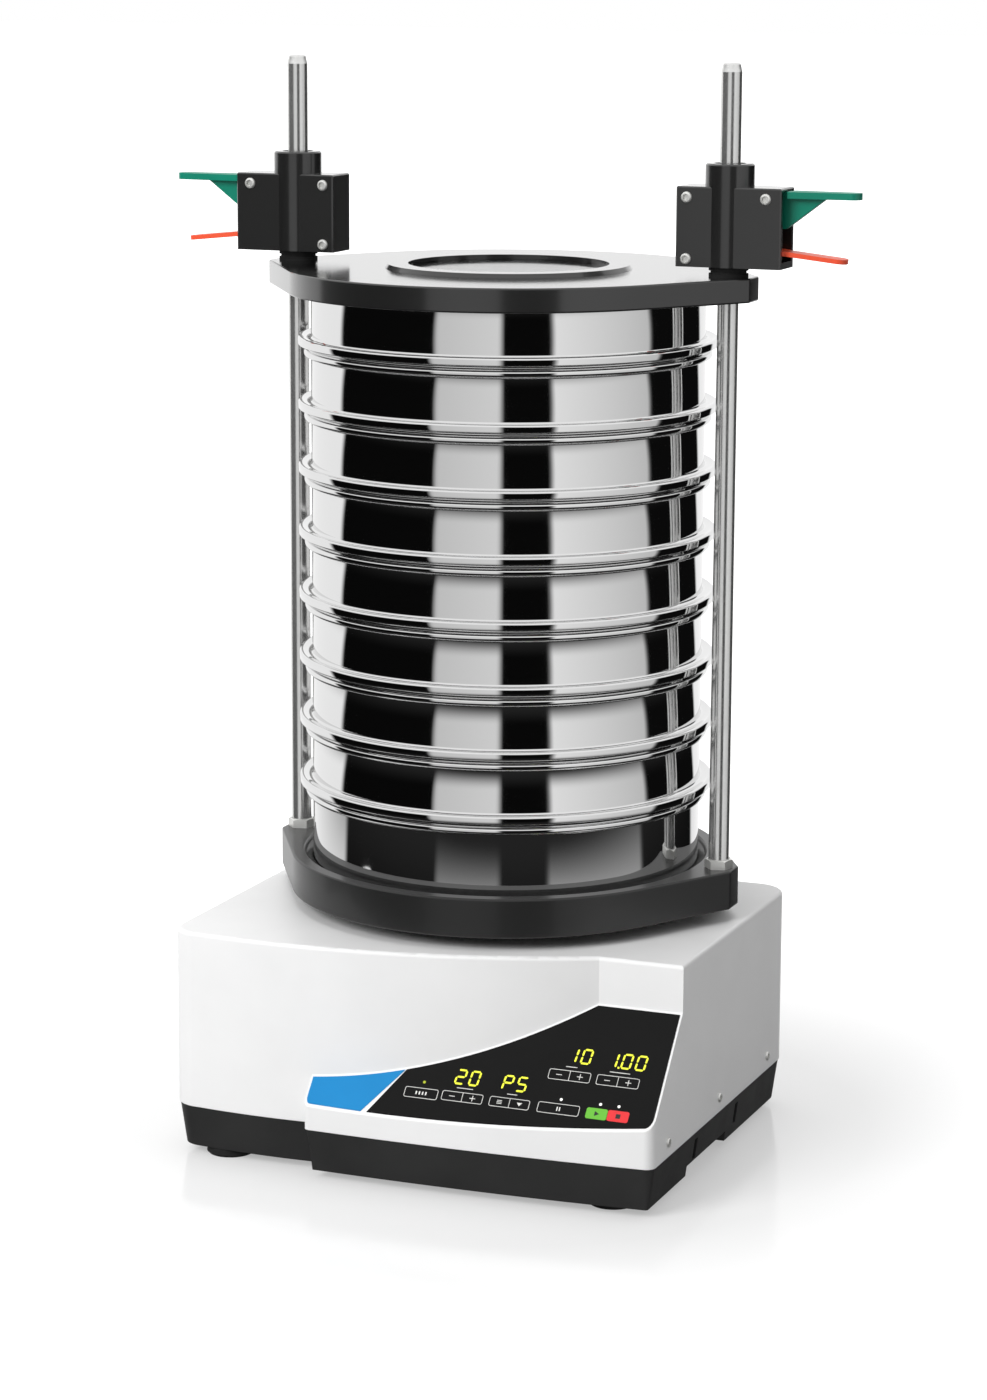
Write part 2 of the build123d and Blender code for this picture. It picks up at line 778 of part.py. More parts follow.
def build_rods():
    """Two guide rods through the sieve plate's ears, each with a tapered top."""
    point_z = rod_top - rod_point
    outline = [(0, plate_z), (rod_radius, plate_z), (rod_radius, point_z), (rod_point_radius, rod_top - 1),
               (rod_point_radius - 1, rod_top), (0, rod_top)]
    rod = revolve_profile(outline)
    return [Pos(side * rod_x, 0, 0) * rod for side in (-1, 1)]


def build_nuts():
    """Hexagon nuts that lock the rods on top of the sieve plate."""
    plan = RegularPolygon(nut_flats / 2, 6, major_radius=False, rotation=15)
    nut = upright(plan, plate_top, plate_top + nut_height)
    tip = nut_flats / 2 / cos(radians(30))
    cone = revolve_profile([(0, plate_top), (tip, plate_top), (tip, plate_top + nut_height - nut_bevel),
                            (tip - 1.7 * nut_bevel, plate_top + nut_height), (0, plate_top + nut_height)])
    nut = (nut & cone) - rod_cylinder(0, 0, plate_top - 1, plate_top + nut_height + 1, rod_radius + nut_play)
    return [Pos(side * rod_x, 0, 0) * nut for side in (-1, 1)]


def build_bolts():
    """Cap screws that hold the sieve plate down on the column, sunk below the pan."""
    shank = rod_cylinder(bolt_circle, 0, plate_z - column_flange, pan_z - bolt_head - 1, bolt_radius - 0.1)
    head = rod_cylinder(bolt_circle, 0, pan_z - bolt_head - 1, pan_z - 1, bolt_head_radius)
    hexagon = Pos(bolt_circle, 0, pan_z - 3) * extrude(RegularPolygon(2.5, 6), 3)
    return on_circle(shank + head - hexagon, bolt_count, 45)


# Pan, sieves and lid

def rim_points(seat):
    """Outer outline of a rolled rim, from the body wall up to the seat above it."""
    low = seat - groove_height - bead_height
    return [(body_radius, low), (bead_radius, low + bead_bevel), (bead_radius, seat - groove_height - bead_bevel),
            (groove_radius, seat - groove_height), (groove_radius, seat)]


def build_pan():
    """Collecting pan: a dish with the same rim as the sieves."""
    outline = [(0, pan_z), (body_radius - pan_corner, pan_z), (body_radius, pan_z + pan_corner)]
    outline += rim_points(first_seat)
    outline += [(inner_radius, first_seat), (inner_radius, pan_z + pan_corner + 0.5),
                (inner_radius - pan_corner + 0.5, pan_z + sheet), (0, pan_z + sheet)]
    return revolve_profile(outline)


def build_sieve(seat):
    """Sieve frame: a skirt that nests in the rim below, a flared foot, the wall and a rolled rim."""
    foot_z = seat + flange_edge + flare_height
    outline = [(skirt_radius - sheet, seat - skirt_depth), (skirt_radius, seat - skirt_depth), (skirt_radius, seat),
               (flange_radius, seat), (flange_radius, seat + flange_edge),
               (body_radius + flare_waist, seat + flange_edge + flare_waist), (body_radius, foot_z)]
    outline += rim_points(seat + nest_pitch)
    outline += [(inner_radius, seat + nest_pitch), (inner_radius, seat + ledge_height),
                (skirt_radius - sheet, seat + ledge_height)]
    return revolve_profile(outline)


def build_mesh(seat):
    """Sieve cloth, as one thin disc on the frame's inner ledge."""
    low = seat + ledge_height
    return rod_cylinder(0, 0, low, low + mesh_thickness, inner_radius - mesh_play)


def build_lid():
    """Lid plate with a recess for the top rim, two rod holes and a stepped window opening."""
    lid = upright(ear_plan(lid_radius, lid_ear_x, lid_ear_half), lid_z, lid_top)
    edges = lid.edges().filter_by(lambda e: abs(e.center().Z - lid_top) < 0.01)
    lid = chamfer(edges, lid_edge)
    lid -= rod_cylinder(0, 0, lid_z - 1, last_seat + lid_seal_thickness, lid_recess_radius)
    lid -= rod_cylinder(0, 0, lid_z, lid_top + 1, window_opening)
    lid -= rod_cylinder(0, 0, lid_top - window_thickness, lid_top + 1, window_radius + window_play)
    for side in (-1, 1):
        lid -= rod_cylinder(side * rod_x, 0, lid_z - 1, lid_top + 1, rod_radius + lid_rod_play)
    return lid


def build_window():
    """Clear window disc in the lid's step."""
    return rod_cylinder(0, 0, lid_top - window_thickness, lid_top, window_radius)


def build_window_ring():
    """Bonded ring over the window's edge."""
    high = lid_top + ring_height
    return revolve_profile([(ring_inner, lid_top), (ring_outer, lid_top), (ring_outer - ring_bevel, high),
                            (ring_inner, high)])


def build_lid_seal():
    """Flat rubber ring between the lid and the top sieve's rim."""
    return ring(last_seat, last_seat + lid_seal_thickness, groove_radius - lid_seal_width, groove_radius)


# Quick clamps, drawn for the right-hand rod about the rod's own axis and mirrored for the left

def clamp_bore_z():
    """Levels of the cavity's floor and roof."""
    return clamp_z + cavity_floor, clamp_top - cavity_roof


def build_clamp_body():
    """Clamp housing: a block with a round boss and collar about the rod, open at its outer end."""
    block = box_between((-clamp_inner, -clamp_depth / 2, clamp_z), (clamp_outer, clamp_depth / 2, clamp_top))
    block = chamfer(block.edges().filter_by(Axis.Z) + block.edges().group_by(Axis.Z)[-1], clamp_edge)
    boss = rod_cylinder(0, 0, clamp_z, collar_top, clamp_boss_radius)
    boss = chamfer(boss.edges().group_by(Axis.Z)[-1], collar_bevel)
    body = block + boss
    floor, roof = clamp_bore_z()
    body -= box_between((-cavity_inner, -cavity_width / 2, floor), (clamp_outer + 1, cavity_width / 2, roof))
    body -= rod_cylinder(0, 0, clamp_z - 1, collar_top + 1, bush_radius)
    for x, z in clamp_screw_places():
        body -= cross_cylinder(x, z, clamp_depth, screw_radius + pivot_fit)
    return body


def clamp_screw_places():
    """The three cross screws; the first is the green lever's pivot."""
    upper, lower = clamp_top - screw_upper, clamp_z + screw_lower
    return [(screw_outer_x, upper), (screw_inner_x, upper), (screw_inner_x, lower)]


def build_clamp_screws():
    """Button-head screws through the clamp from front to back."""
    screws = []
    half = clamp_depth / 2
    for x, z in clamp_screw_places():
        shank = cross_cylinder(x, z, half, screw_radius)
        head = Pos(x, -half - screw_head / 2, z) * Rot(90, 0, 0) * Cylinder(screw_head_radius, screw_head)
        head = chamfer(head.edges().group_by(Axis.Y)[0], screw_head_bevel)
        tail = Pos(x, half + screw_tail / 2, z) * Rot(90, 0, 0) * Cylinder(screw_radius, screw_tail)
        screws.append(shank + head + tail)
    return screws


def build_bushes():
    """Plastic guide bushes: a ribbed one that stands on the lid, and one in the collar."""
    bore = rod_radius + rod_fit
    low = lid_top
    floor, roof = clamp_bore_z()
    outline = [(bore, low + bush_bevel), (bore + bush_bevel, low), (bush_flange_radius, low)]
    level = low
    while level + 2 * bush_rib < clamp_z:
        outline += [(bush_flange_radius, level + bush_rib), (bush_flange_radius - bush_rib_depth, level + bush_rib),
                    (bush_flange_radius - bush_rib_depth, level + 2 * bush_rib),
                    (bush_flange_radius, level + 2 * bush_rib)]
        level += 2 * bush_rib
    outline += [(bush_flange_radius, clamp_z), (bush_radius, clamp_z), (bush_radius, floor), (bore, floor)]
    lower = revolve_profile(outline)
    top_low = collar_top - bush_top_length
    upper = revolve_profile([(bore, top_low), (bush_radius, top_low), (bush_radius, collar_top - collar_bevel),
                             (bore + 3 * bush_bevel, collar_top - collar_bevel), (bore, collar_top - 3 * bush_bevel)])
    return [lower, upper]


def bar_plan(start, end, half_width):
    """A flat bar between two points, round at both ends."""
    lean = atan2(end[1] - start[1], end[0] - start[0])
    out_x, out_y = -sin(lean) * half_width, cos(lean) * half_width
    bar = make_face(Polyline(
        (start[0] + out_x, start[1] + out_y), (end[0] + out_x, end[1] + out_y),
        (end[0] - out_x, end[1] - out_y), (start[0] - out_x, start[1] - out_y), close=True))
    return bar + Pos(*start) * Circle(half_width) + Pos(*end) * Circle(half_width)


def build_release():
    """Green lever: a wide paddle with a triangular web, and a finger inside that lifts the grip plate."""
    pivot_x, pivot_z = clamp_screw_places()[0]
    top = clamp_top - release_drop
    low = top - release_thickness
    half = release_width / 2
    plan = make_face(Polyline(
        (release_root, -half), (release_reach, -half * 0.75), (release_reach, half * 0.75), (release_root, half),
        close=True))
    tips = plan.vertices().filter_by(lambda v: v.X > release_reach - 1)
    paddle = upright(fillet(tips, half * 0.7), low, top)
    web = make_face(Polyline(
        (pivot_x, pivot_z + release_hub), (release_root + 6, top), (release_web_reach, low),
        (clamp_outer, top - release_web_drop), (clamp_outer - 8, top - release_web_drop),
        (pivot_x, pivot_z - release_hub), close=True))
    hub = Pos(pivot_x, pivot_z) * Circle(release_hub)
    toe_z = clamp_z + grip_plate_level - release_toe_play - release_toe_radius
    elbow, toe = (release_elbow_x, toe_z), (release_toe_x, toe_z)
    finger = bar_plan((pivot_x, pivot_z), elbow, release_toe_radius) + bar_plan(elbow, toe, release_toe_radius)
    side = Plane.XZ * (web + finger + hub)
    lever = paddle + extrude(side, release_web / 2, both=True)
    return lever - cross_cylinder(pivot_x, pivot_z, clamp_depth, screw_radius + pivot_fit)


def build_brake():
    """Red lever: a thin tilted plate that grips the rod inside the clamp."""
    inner = -brake_heel
    half_in = cavity_width / 2 - brake_play
    half_out = brake_width / 2
    plan = make_face(Polyline(
        (inner, -half_in), (clamp_outer - 4, -half_in), (clamp_outer + 1, -half_out), (brake_reach, -half_out),
        (brake_reach, half_out), (clamp_outer + 1, half_out), (clamp_outer - 4, half_in), (inner, half_in),
        close=True))
    plan = fillet(plan.vertices().filter_by(lambda v: v.X > brake_reach - 1), brake_tip_radius)
    flat = upright(plan, -brake_thickness / 2, brake_thickness / 2)
    flat += cross_cylinder(inner, 0, half_in, brake_thickness / 2)
    plate = Pos(clamp_outer, 0, clamp_z + brake_level) * Rot(0, brake_tilt, 0) * Pos(-clamp_outer, 0, 0) * flat
    return plate - rod_cylinder(0, 0, clamp_z, clamp_top, rod_radius + brake_rod_play)


def build_grip_plate():
    """Steel plate round the rod: the green lever lifts it, it bites, and the clamp is drawn down."""
    half = cavity_width / 2 - grip_plate_play
    low = clamp_z + grip_plate_level
    plate = box_between((-grip_plate_inner, -half, low), (grip_plate_outer, half, low + grip_plate_thickness))
    return plate - rod_cylinder(0, 0, clamp_z, clamp_top, rod_radius + grip_plate_rod_play)


def at_rods(shape):
    """The right-hand shape and its mirror image at the left-hand rod."""
    right = [Pos(rod_x, 0, 0) * s for s in solids_of(shape)]
    left = [mirror(s, Plane.YZ) for s in right]
    return {"right": right, "left": left}


os.makedirs("parts", exist_ok=True)

write("housing_hood", build_hood())
write("base_tray", build_tray())
write("rubber_feet", build_feet())
write("side_screws", build_side_screws())
black_film, blue_film = build_films()
write("panel_film", black_film)
write("accent_film", blue_film)
write("display_modules", build_displays())
write("control_board", build_board())
write("inlet_module", build_inlet())
write("mains_rocker", build_rocker())
write("data_port", build_port())
write("chassis", build_chassis())
write("leaf_springs", build_leaves())
write("magnet_core", build_core())
write("magnet_coil", build_coil())
write("power_supply", build_supply())
write("dust_boot", build_boot())
write("armature", build_armature())
write("spring_carrier", build_carrier())
write("drive_column", build_column())
write("sieve_plate", build_plate())
write("guide_rods", build_rods())
write("rod_nuts", build_nuts())
write("plate_bolts", build_bolts())
write("collecting_pan", build_pan())
for number in range(1, sieve_count + 1):
    seat_level = first_seat + (number - 1) * nest_pitch
    write(f"sieve_frame_{number}", build_sieve(seat_level))
    write(f"sieve_mesh_{number}", build_mesh(seat_level))
write("lid_plate", build_lid())
write("lid_window", build_window())
write("window_ring", build_window_ring())
write("lid_seal", build_lid_seal())
clamp_parts = {"clamp_body": build_clamp_body(), "clamp_screws": build_clamp_screws(),
               "guide_bushes": build_bushes(), "release_lever": build_release(),
               "brake_lever": build_brake(), "grip_plate": build_grip_plate()}
for part_name, part_shape in clamp_parts.items():
    for side_name, side_solids in at_rods(part_shape).items():
        write(f"{part_name}_{side_name}", side_solids)
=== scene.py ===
import bmesh, bpy, math
from mathutils import Matrix, Vector


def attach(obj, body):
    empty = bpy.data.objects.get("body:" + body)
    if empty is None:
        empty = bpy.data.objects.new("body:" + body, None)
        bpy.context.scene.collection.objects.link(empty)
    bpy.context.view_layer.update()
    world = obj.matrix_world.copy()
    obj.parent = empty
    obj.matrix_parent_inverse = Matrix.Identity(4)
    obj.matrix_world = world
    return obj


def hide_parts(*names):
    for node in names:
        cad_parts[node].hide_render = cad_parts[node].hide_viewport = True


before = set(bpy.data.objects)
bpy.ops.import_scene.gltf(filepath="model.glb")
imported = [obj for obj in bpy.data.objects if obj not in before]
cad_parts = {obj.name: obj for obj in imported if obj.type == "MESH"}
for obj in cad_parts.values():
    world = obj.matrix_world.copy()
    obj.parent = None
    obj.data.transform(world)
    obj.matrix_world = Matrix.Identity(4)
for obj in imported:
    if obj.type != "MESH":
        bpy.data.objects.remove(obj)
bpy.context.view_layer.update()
print("frame loaded:", len(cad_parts), "nodes")

mm = 0.001
tiny = 1e-6               # what is smaller counts as nothing
stackY = 23.75            # the sieve axis stands this far behind the origin, mm

# matched to the photograph, 987 x 1400, in degrees, mm and pixels; Blender's lens counts along its long side
camera = {"azimuth": 21.871, "elevation": 11.58, "roll": 0.257, "distance": 2954.0,
          "targetX": -1.28, "targetY": -0.51, "targetZ": 341.68,
          "focalPixels": 3778.3, "imageHeight": 1400, "sensor": 36.0, "clip": (0.05, 60.0)}

# dark flags and light screens round the steel: azimuth from, azimuth to, brightness at each end
studio = {"bands": [(-180, -90.7, 1.0, 1.0), (-90.7, -20.9, 0.003, 0.003), (-20.9, 17.9, 0.66, 0.78),
                    (17.9, 47.5, 0.003, 0.003), (47.5, 111.3, 0.92, 0.62), (111.3, 169, 0.004, 0.004),
                    (169, 180, 1.0, 1.0)],
          "edge": 1.6,               # degrees from the middle of a band's soft edge to its end
          "ambient": 0.42,           # what lights matt surfaces
          "background": 1.0,         # what the camera sees
          "tent": 1.0, "below": 0.02,
          "rise": (0.12, 0.36),      # sine of the elevation where the bands give way to the white tent above
          "fall": (-0.24, -0.44)}    # and where they give way to the dark table top below

# places and sizes in metres, power in watts
lamps = {"key": {"place": (-1.3, -2.8, 2.1), "size": 1.8, "power": 92.0},
         "top": {"place": (-0.3, 0.4, 3.0), "size": 2.2, "power": 32.0},
         "fill": {"place": (1.5, -0.5, 1.6), "size": 0.7, "power": 1.5}}
lampAim = Vector((0, 0, 0.35))      # all three point here

# how a surface wanders: detail of the noise, the stretch of it that counts, and the size of its clouds in mm
surface = {"grainDetail": 2.0, "cloudDetail": 3.0, "colourSpan": (0.35, 0.65), "roughSpan": (0.3, 0.7),
           "colourCloud": 60, "roughCloud": 25, "edgeSamples": 4, "coatRoughness": 0.12,
           "facingSpan": (0.55, 0.85)}


def linear(hexCode):
    channels = [int(hexCode[i:i + 2], 16) / 255 for i in (1, 3, 5)]
    return [c / 12.92 if c <= 0.04045 else ((c + 0.055) / 1.055) ** 2.4 for c in channels] + [1.0]


def addNode(tree, kind, settings=None, links=None, **attributes):
    node = tree.nodes.new(kind)
    for key, value in attributes.items():
        setattr(node, key, value)
    for socket, value in (settings or {}).items():
        node.inputs[socket].default_value = value
    for socket, source in (links or {}).items():
        tree.links.new(source, node.inputs[socket])
    return node


def newMaterial(name, settings):
    material = bpy.data.materials.new(name)
    material.use_nodes = True
    tree = material.node_tree
    tree.nodes.clear()
    shader = addNode(tree, "ShaderNodeBsdfPrincipled", settings)
    addNode(tree, "ShaderNodeOutputMaterial", links={"Surface": shader.outputs["BSDF"]})
    place = addNode(tree, "ShaderNodeTexCoord")
    return material, tree, shader, place.outputs["Object"]


def perMetre(millimetres):
    return 1000.0 / millimetres      # texture scale for a feature of this real size


def grainBump(tree, shader, place, sizeMm, depthMm, edgeMm=0.0):
    # surface grain, on edges that look rounded where edgeMm gives them a radius
    grain = addNode(tree, "ShaderNodeTexNoise",
                    {"Scale": perMetre(sizeMm), "Detail": surface["grainDetail"]}, {"Vector": place})
    bump = addNode(tree, "ShaderNodeBump", {"Distance": depthMm * mm}, {"Height": grain.outputs["Fac"]})
    if edgeMm:
        edge = addNode(tree, "ShaderNodeBevel", {"Radius": edgeMm * mm}, samples=surface["edgeSamples"])
        tree.links.new(edge.outputs["Normal"], bump.inputs["Normal"])
    tree.links.new(bump.outputs["Normal"], shader.inputs["Normal"])


def clouds(tree, place, sizeMm):
    noise = addNode(tree, "ShaderNodeTexNoise",
                    {"Scale": perMetre(sizeMm), "Detail": surface["cloudDetail"]}, {"Vector": place})
    return noise.outputs["Fac"]


def blendColours(tree, shader, factor, span, first, second):
    ramp = addNode(tree, "ShaderNodeValToRGB", links={"Fac": factor})
    for stop, position, colour in zip(ramp.color_ramp.elements, span, (first, second)):
        stop.position = position
        stop.color = linear(colour)
    tree.links.new(ramp.outputs["Color"], shader.inputs["Base Color"])


def varyRoughness(tree, shader, place, low, high, sizeMm):
    least, most = surface["roughSpan"]
    spread = addNode(tree, "ShaderNodeMapRange",
                     {"From Min": least, "From Max": most, "To Min": low, "To Max": high},
                     {"Value": clouds(tree, place, sizeMm)})
    tree.links.new(spread.outputs["Result"], shader.inputs["Roughness"])


def mouldedPlastic(name, first, second, roughness, grainMm, depthMm, edgeMm=0.0, ior=1.5):
    # colour, gloss and grain each wander a little, as on anything moulded, cast or sprayed
    material, tree, shader, place = newMaterial(name, {"IOR": ior})
    factor = clouds(tree, place, surface["colourCloud"])
    blendColours(tree, shader, factor, surface["colourSpan"], first, second)
    varyRoughness(tree, shader, place, roughness * 0.92, roughness * 1.08, surface["roughCloud"])
    grainBump(tree, shader, place, grainMm, depthMm, edgeMm)
    return material


def satinBlack(name, colour, straightOn, grazing, coat, grainMm, depthMm, edgeMm):
    # a satin black that turns glossy where it is seen at a low angle
    material, tree, shader, place = newMaterial(
        name, {"Base Color": linear(colour), "Coat Weight": coat, "Coat Roughness": surface["coatRoughness"]})
    facing = addNode(tree, "ShaderNodeLayerWeight")
    least, most = surface["facingSpan"]
    spread = addNode(tree, "ShaderNodeMapRange",
                     {"From Min": least, "From Max": most, "To Min": straightOn, "To Max": grazing},
                     {"Value": facing.outputs["Facing"]})
    tree.links.new(spread.outputs["Result"], shader.inputs["Roughness"])
    grainBump(tree, shader, place, grainMm, depthMm, edgeMm)
    return material


def turnedSteel(name, colour, roughness, ringMm, depthMm):
    # polished on a lathe: fine rings run round the axis, too fine to see but for a faint streak
    material, tree, shader, place = newMaterial(name, {"Metallic": 1.0, "Base Color": linear(colour)})
    height = addNode(tree, "ShaderNodeSeparateXYZ", links={"Vector": place})
    rings = addNode(tree, "ShaderNodeTexNoise", {"Scale": perMetre(ringMm), "Detail": surface["cloudDetail"]},
                    {"W": height.outputs["Z"]}, noise_dimensions="1D")
    bump = addNode(tree, "ShaderNodeBump", {"Distance": depthMm * mm}, {"Height": rings.outputs["Fac"]})
    tree.links.new(bump.outputs["Normal"], shader.inputs["Normal"])
    varyRoughness(tree, shader, place, roughness * 0.8, roughness * 1.25, 30)
    return material


def drawnSteel(name, colour, roughness, stretchMm, grainMm, depthMm, metallic=1.0):
    # drawn and ground along its length: marks are long in Z and narrow across
    material, tree, shader, place = newMaterial(name, {"Metallic": metallic, "Base Color": linear(colour)})
    longGrain = addNode(tree, "ShaderNodeMapping", {"Scale": (1, 1, grainMm / stretchMm)}, {"Vector": place})
    grain = addNode(tree, "ShaderNodeTexNoise",
                    {"Scale": perMetre(grainMm), "Detail": surface["grainDetail"]},
                    {"Vector": longGrain.outputs["Vector"]})
    bump = addNode(tree, "ShaderNodeBump", {"Distance": depthMm * mm}, {"Height": grain.outputs["Fac"]})
    tree.links.new(bump.outputs["Normal"], shader.inputs["Normal"])
    varyRoughness(tree, shader, place, roughness * 0.8, roughness * 1.2, 12)
    return material


def wovenWire(name, gap, colour, pitchMm, depthMm):
    # stainless wire cloth: two sets of threads cross, drawn coarser than the real cloth so that they show;
    # the openings between the threads are painted dark, painted shade where a real cloth would show the dim
    # inside of the stack
    material, tree, shader, place = newMaterial(name, {"Metallic": 1.0, "Roughness": 0.35})
    weave = addNode(tree, "ShaderNodeMath", operation="MAXIMUM")
    for index, direction in enumerate(("X", "Y")):
        # a wave texture at scale 1 runs through 20 radians in each metre
        thread = addNode(tree, "ShaderNodeTexWave", {"Scale": perMetre(pitchMm) * 2 * math.pi / 20},
                         {"Vector": place}, bands_direction=direction, wave_profile="SIN")
        tree.links.new(thread.outputs["Fac"], weave.inputs[index])
    # the first colour is painted shade in the openings, the second the threads' own steel
    blendColours(tree, shader, weave.outputs[0], (0.45, 0.75), gap, colour)
    bump = addNode(tree, "ShaderNodeBump", {"Distance": depthMm * mm}, {"Height": weave.outputs[0]})
    tree.links.new(bump.outputs["Normal"], shader.inputs["Normal"])
    return material


def printedInk(name, colour, glow=0.0):
    # screen printed under the film, so it is as smooth as the film itself
    material, tree, shader, place = newMaterial(
        name, {"Base Color": linear(colour), "Roughness": 0.3, "Emission Color": linear(colour),
               "Emission Strength": glow})
    grainBump(tree, shader, place, 0.5, 0.004)
    return material


def clearSheet(name, colour, roughness, ior):
    # a clear sheet that has been wiped often: its gloss varies a little
    material, tree, shader, place = newMaterial(
        name, {"Base Color": linear(colour), "Transmission Weight": 1.0, "IOR": ior})
    varyRoughness(tree, shader, place, roughness * 0.8, roughness * 1.3, 20)
    return material


# the functions above name each value; the sizes and depths of grain and edges are in mm
materials = {
    # moulded ABS, spark-eroded tool: a fine even grain and a soft sheen
    "absWhite": mouldedPlastic("ABS moulded white", "#F3F3F3", "#F6F6F6", 0.36, 0.7, 0.012, 0.8),
    "absBlack": mouldedPlastic("ABS moulded black", "#2B2B2B", "#303030", 0.5, 0.9, 0.05, 0.8),
    # polyamide of the mains inlet and its switch: black with a fine grain
    "socketBlack": mouldedPlastic("polyamide moulded black", "#171717", "#1C1C1C", 0.42, 0.6, 0.02, 0.3),
    # polycarbonate film, printed on its back: flat, with a smooth gloss
    "filmBlack": mouldedPlastic("polycarbonate film black", "#090909", "#0B0B0B", 0.3, 2.5, 0.004, ior=1.26),
    "filmBlue": mouldedPlastic("polycarbonate film blue", "#1284C4", "#1689CA", 0.3, 2.5, 0.004, ior=1.4),
    # nitrile rubber, pressed: dull and slightly dusty
    "rubber": mouldedPlastic("nitrile rubber", "#161616", "#1E1E1E", 0.78, 0.8, 0.05),
    # black anodised aluminium, bead blasted and sealed, and the lacquered casting of the sieve plate:
    # dark and satin, bright where they are seen at a low angle
    "anodised": satinBlack("aluminium anodised black", "#191919", 0.4, 0.18, 1.0, 1.6, 0.002, 0.5),
    "castBlack": satinBlack("aluminium lacquered black", "#1C1C1C", 0.42, 0.3, 0.15, 1.6, 0.004, 0.6),
    # bare casting: dull silver with a sandy grain
    "castBare": mouldedPlastic("cast aluminium", "#A6A7A8", "#B4B5B6", 0.5, 0.9, 0.08),
    # sieves and pan: polished like a mirror, with the faintest rings of the lathe
    "steelPolished": turnedSteel("stainless steel polished", "#E2E2E2", 0.045, 0.8, 0.00025),
    # guide rods: ground bright, with long fine marks that spread a reflection sideways
    "steelGround": drawnSteel("stainless steel ground", "#E4E4E3", 0.2, 40, 0.35, 0.0002, metallic=0.86),
    # screws and nuts: a pale, milky zinc coat
    "steelZinc": drawnSteel("steel zinc plated", "#E6E6E3", 0.34, 3, 0.6, 0.001, metallic=0.6),
    # wire cloth: pale threads, with the openings between them painted dark as painted shade
    "wireCloth": wovenWire("stainless wire cloth", "#2A2A2A", "#B8B7B2", 3.2, 0.25),
    # acrylic of the lid: clear, a little grey
    "window": clearSheet("acrylic sheet clear", "#B8BCBC", 0.08, 1.38),
    # glass-filled polyamide, dyed green: satin, with a faint flow pattern
    "polyamideGreen": mouldedPlastic("polyamide moulded green", "#007A62", "#00826A", 0.42, 0.7, 0.02, 0.6),
    # powder coat on sheet steel: an even orange peel
    "powderRed": mouldedPlastic("powder coat red", "#EE5433", "#F25C3A", 0.38, 1.4, 0.03, 0.5),
    "chassisPaint": mouldedPlastic("powder coat grey", "#4C4E50", "#545658", 0.5, 1.4, 0.04),
    # inside the hood: straw coloured laminate, dull core plates, brown enamelled wire and a green board
    "springLaminate": mouldedPlastic("glass fibre laminate", "#B59B4A", "#C2A957", 0.4, 0.8, 0.05),
    "coreSteel": drawnSteel("laminated electrical steel", "#6C6C6E", 0.45, 30, 0.5, 0.02),
    "copper": turnedSteel("enamelled copper wire", "#B4693A", 0.3, 1.0, 0.15),
    "board": mouldedPlastic("glass epoxy board green", "#1E5B32", "#246B3A", 0.35, 1.0, 0.02),
    # inks and signal lamps: opaque and even, and what is lit glows faintly
    "inkWhite": printedInk("screen ink white", "#E9E9E6"),
    "inkGreen": printedInk("screen ink green", "#6BBF3A"),
    "inkRed": printedInk("screen ink red", "#E93338"),
    "inkDark": printedInk("screen ink dark", "#242424"),
    "segments": printedInk("display segment lit", "#DDE03A", 0.55),
    "lampWhite": printedInk("signal lamp white", "#F4F4F0", 0.4),
    "lampAmber": printedInk("signal lamp yellow green", "#A8B428", 0.2),
}
print("materials:", len(materials))

# sieves and pan, turned about the stack axis (mm)
sieve = {"count": 8, "bodyRadius": 152.4, "sheet": 1.0, "pitch": 49.2, "firstSeat": 274.5, "ledge": 1.2,
         "skirtRadius": 151.0, "skirtDepth": 9.0,
         "flangeRadius": 162.5, "flangeFoot": 0.8, "flangeRound": 2.2, "flangeHeight": 6.6, "flangeTurn": 120,
         "gutter": 1.6, "gutterCurve": [(3.4, 0.0), (1.2, 0.2), (0.3, 0.9), (0.0, 2.2)],
         "beadRadius": 158.0, "beadHeight": 6.0, "beadRound": 2.6, "hollow": (1.4, 1.2),
         "neckRadius": 155.5, "neckHeight": 3.2, "neckLean": 1.2, "neckStep": 0.05,
         "steps": 240, "footSteps": 4, "crestSteps": 9, "beadSteps": 7, "hollowSteps": 4}
pan = {"floor": 211.0, "corner": 4.0, "steps": 8}

# which CAD nodes carry which finish
finishes = {
    "absWhite": ["housing_hood"],
    "absBlack": ["base_tray"],
    "socketBlack": ["inlet_module", "mains_rocker"],
    "filmBlack": ["panel_film", "display_modules"],
    "filmBlue": ["accent_film"],
    "rubber": ["rubber_feet", "dust_boot", "lid_seal", "guide_bushes_left", "guide_bushes_right"],
    "anodised": ["lid_plate", "window_ring", "clamp_body_left", "clamp_body_right"],
    "castBlack": ["sieve_plate"],
    "castBare": ["spring_carrier", "drive_column", "power_supply"],
    "steelGround": ["guide_rods"],
    "steelZinc": ["side_screws", "rod_nuts", "plate_bolts", "clamp_screws_left", "clamp_screws_right",
                  "grip_plate_left", "grip_plate_right", "data_port"],
    "steelPolished": ["collecting_pan"] + [f"sieve_frame_{k}" for k in range(1, sieve["count"] + 1)],
    "wireCloth": [f"sieve_mesh_{k}" for k in range(1, sieve["count"] + 1)],
    "window": ["lid_window"],
    "polyamideGreen": ["release_lever_left", "release_lever_right"],
    "powderRed": ["brake_lever_left", "brake_lever_right"],
    "chassisPaint": ["chassis"],
    "springLaminate": ["leaf_springs"],
    "coreSteel": ["magnet_core", "armature"],
    "copper": ["magnet_coil"],
    "board": ["control_board"],
}
for finish, nodeNames in finishes.items():
    for nodeName in nodeNames:
        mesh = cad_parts[nodeName].data
        mesh.materials.clear()
        mesh.materials.append(materials[finish])
        mesh.polygons.foreach_set("material_index", [0] * len(mesh.polygons))


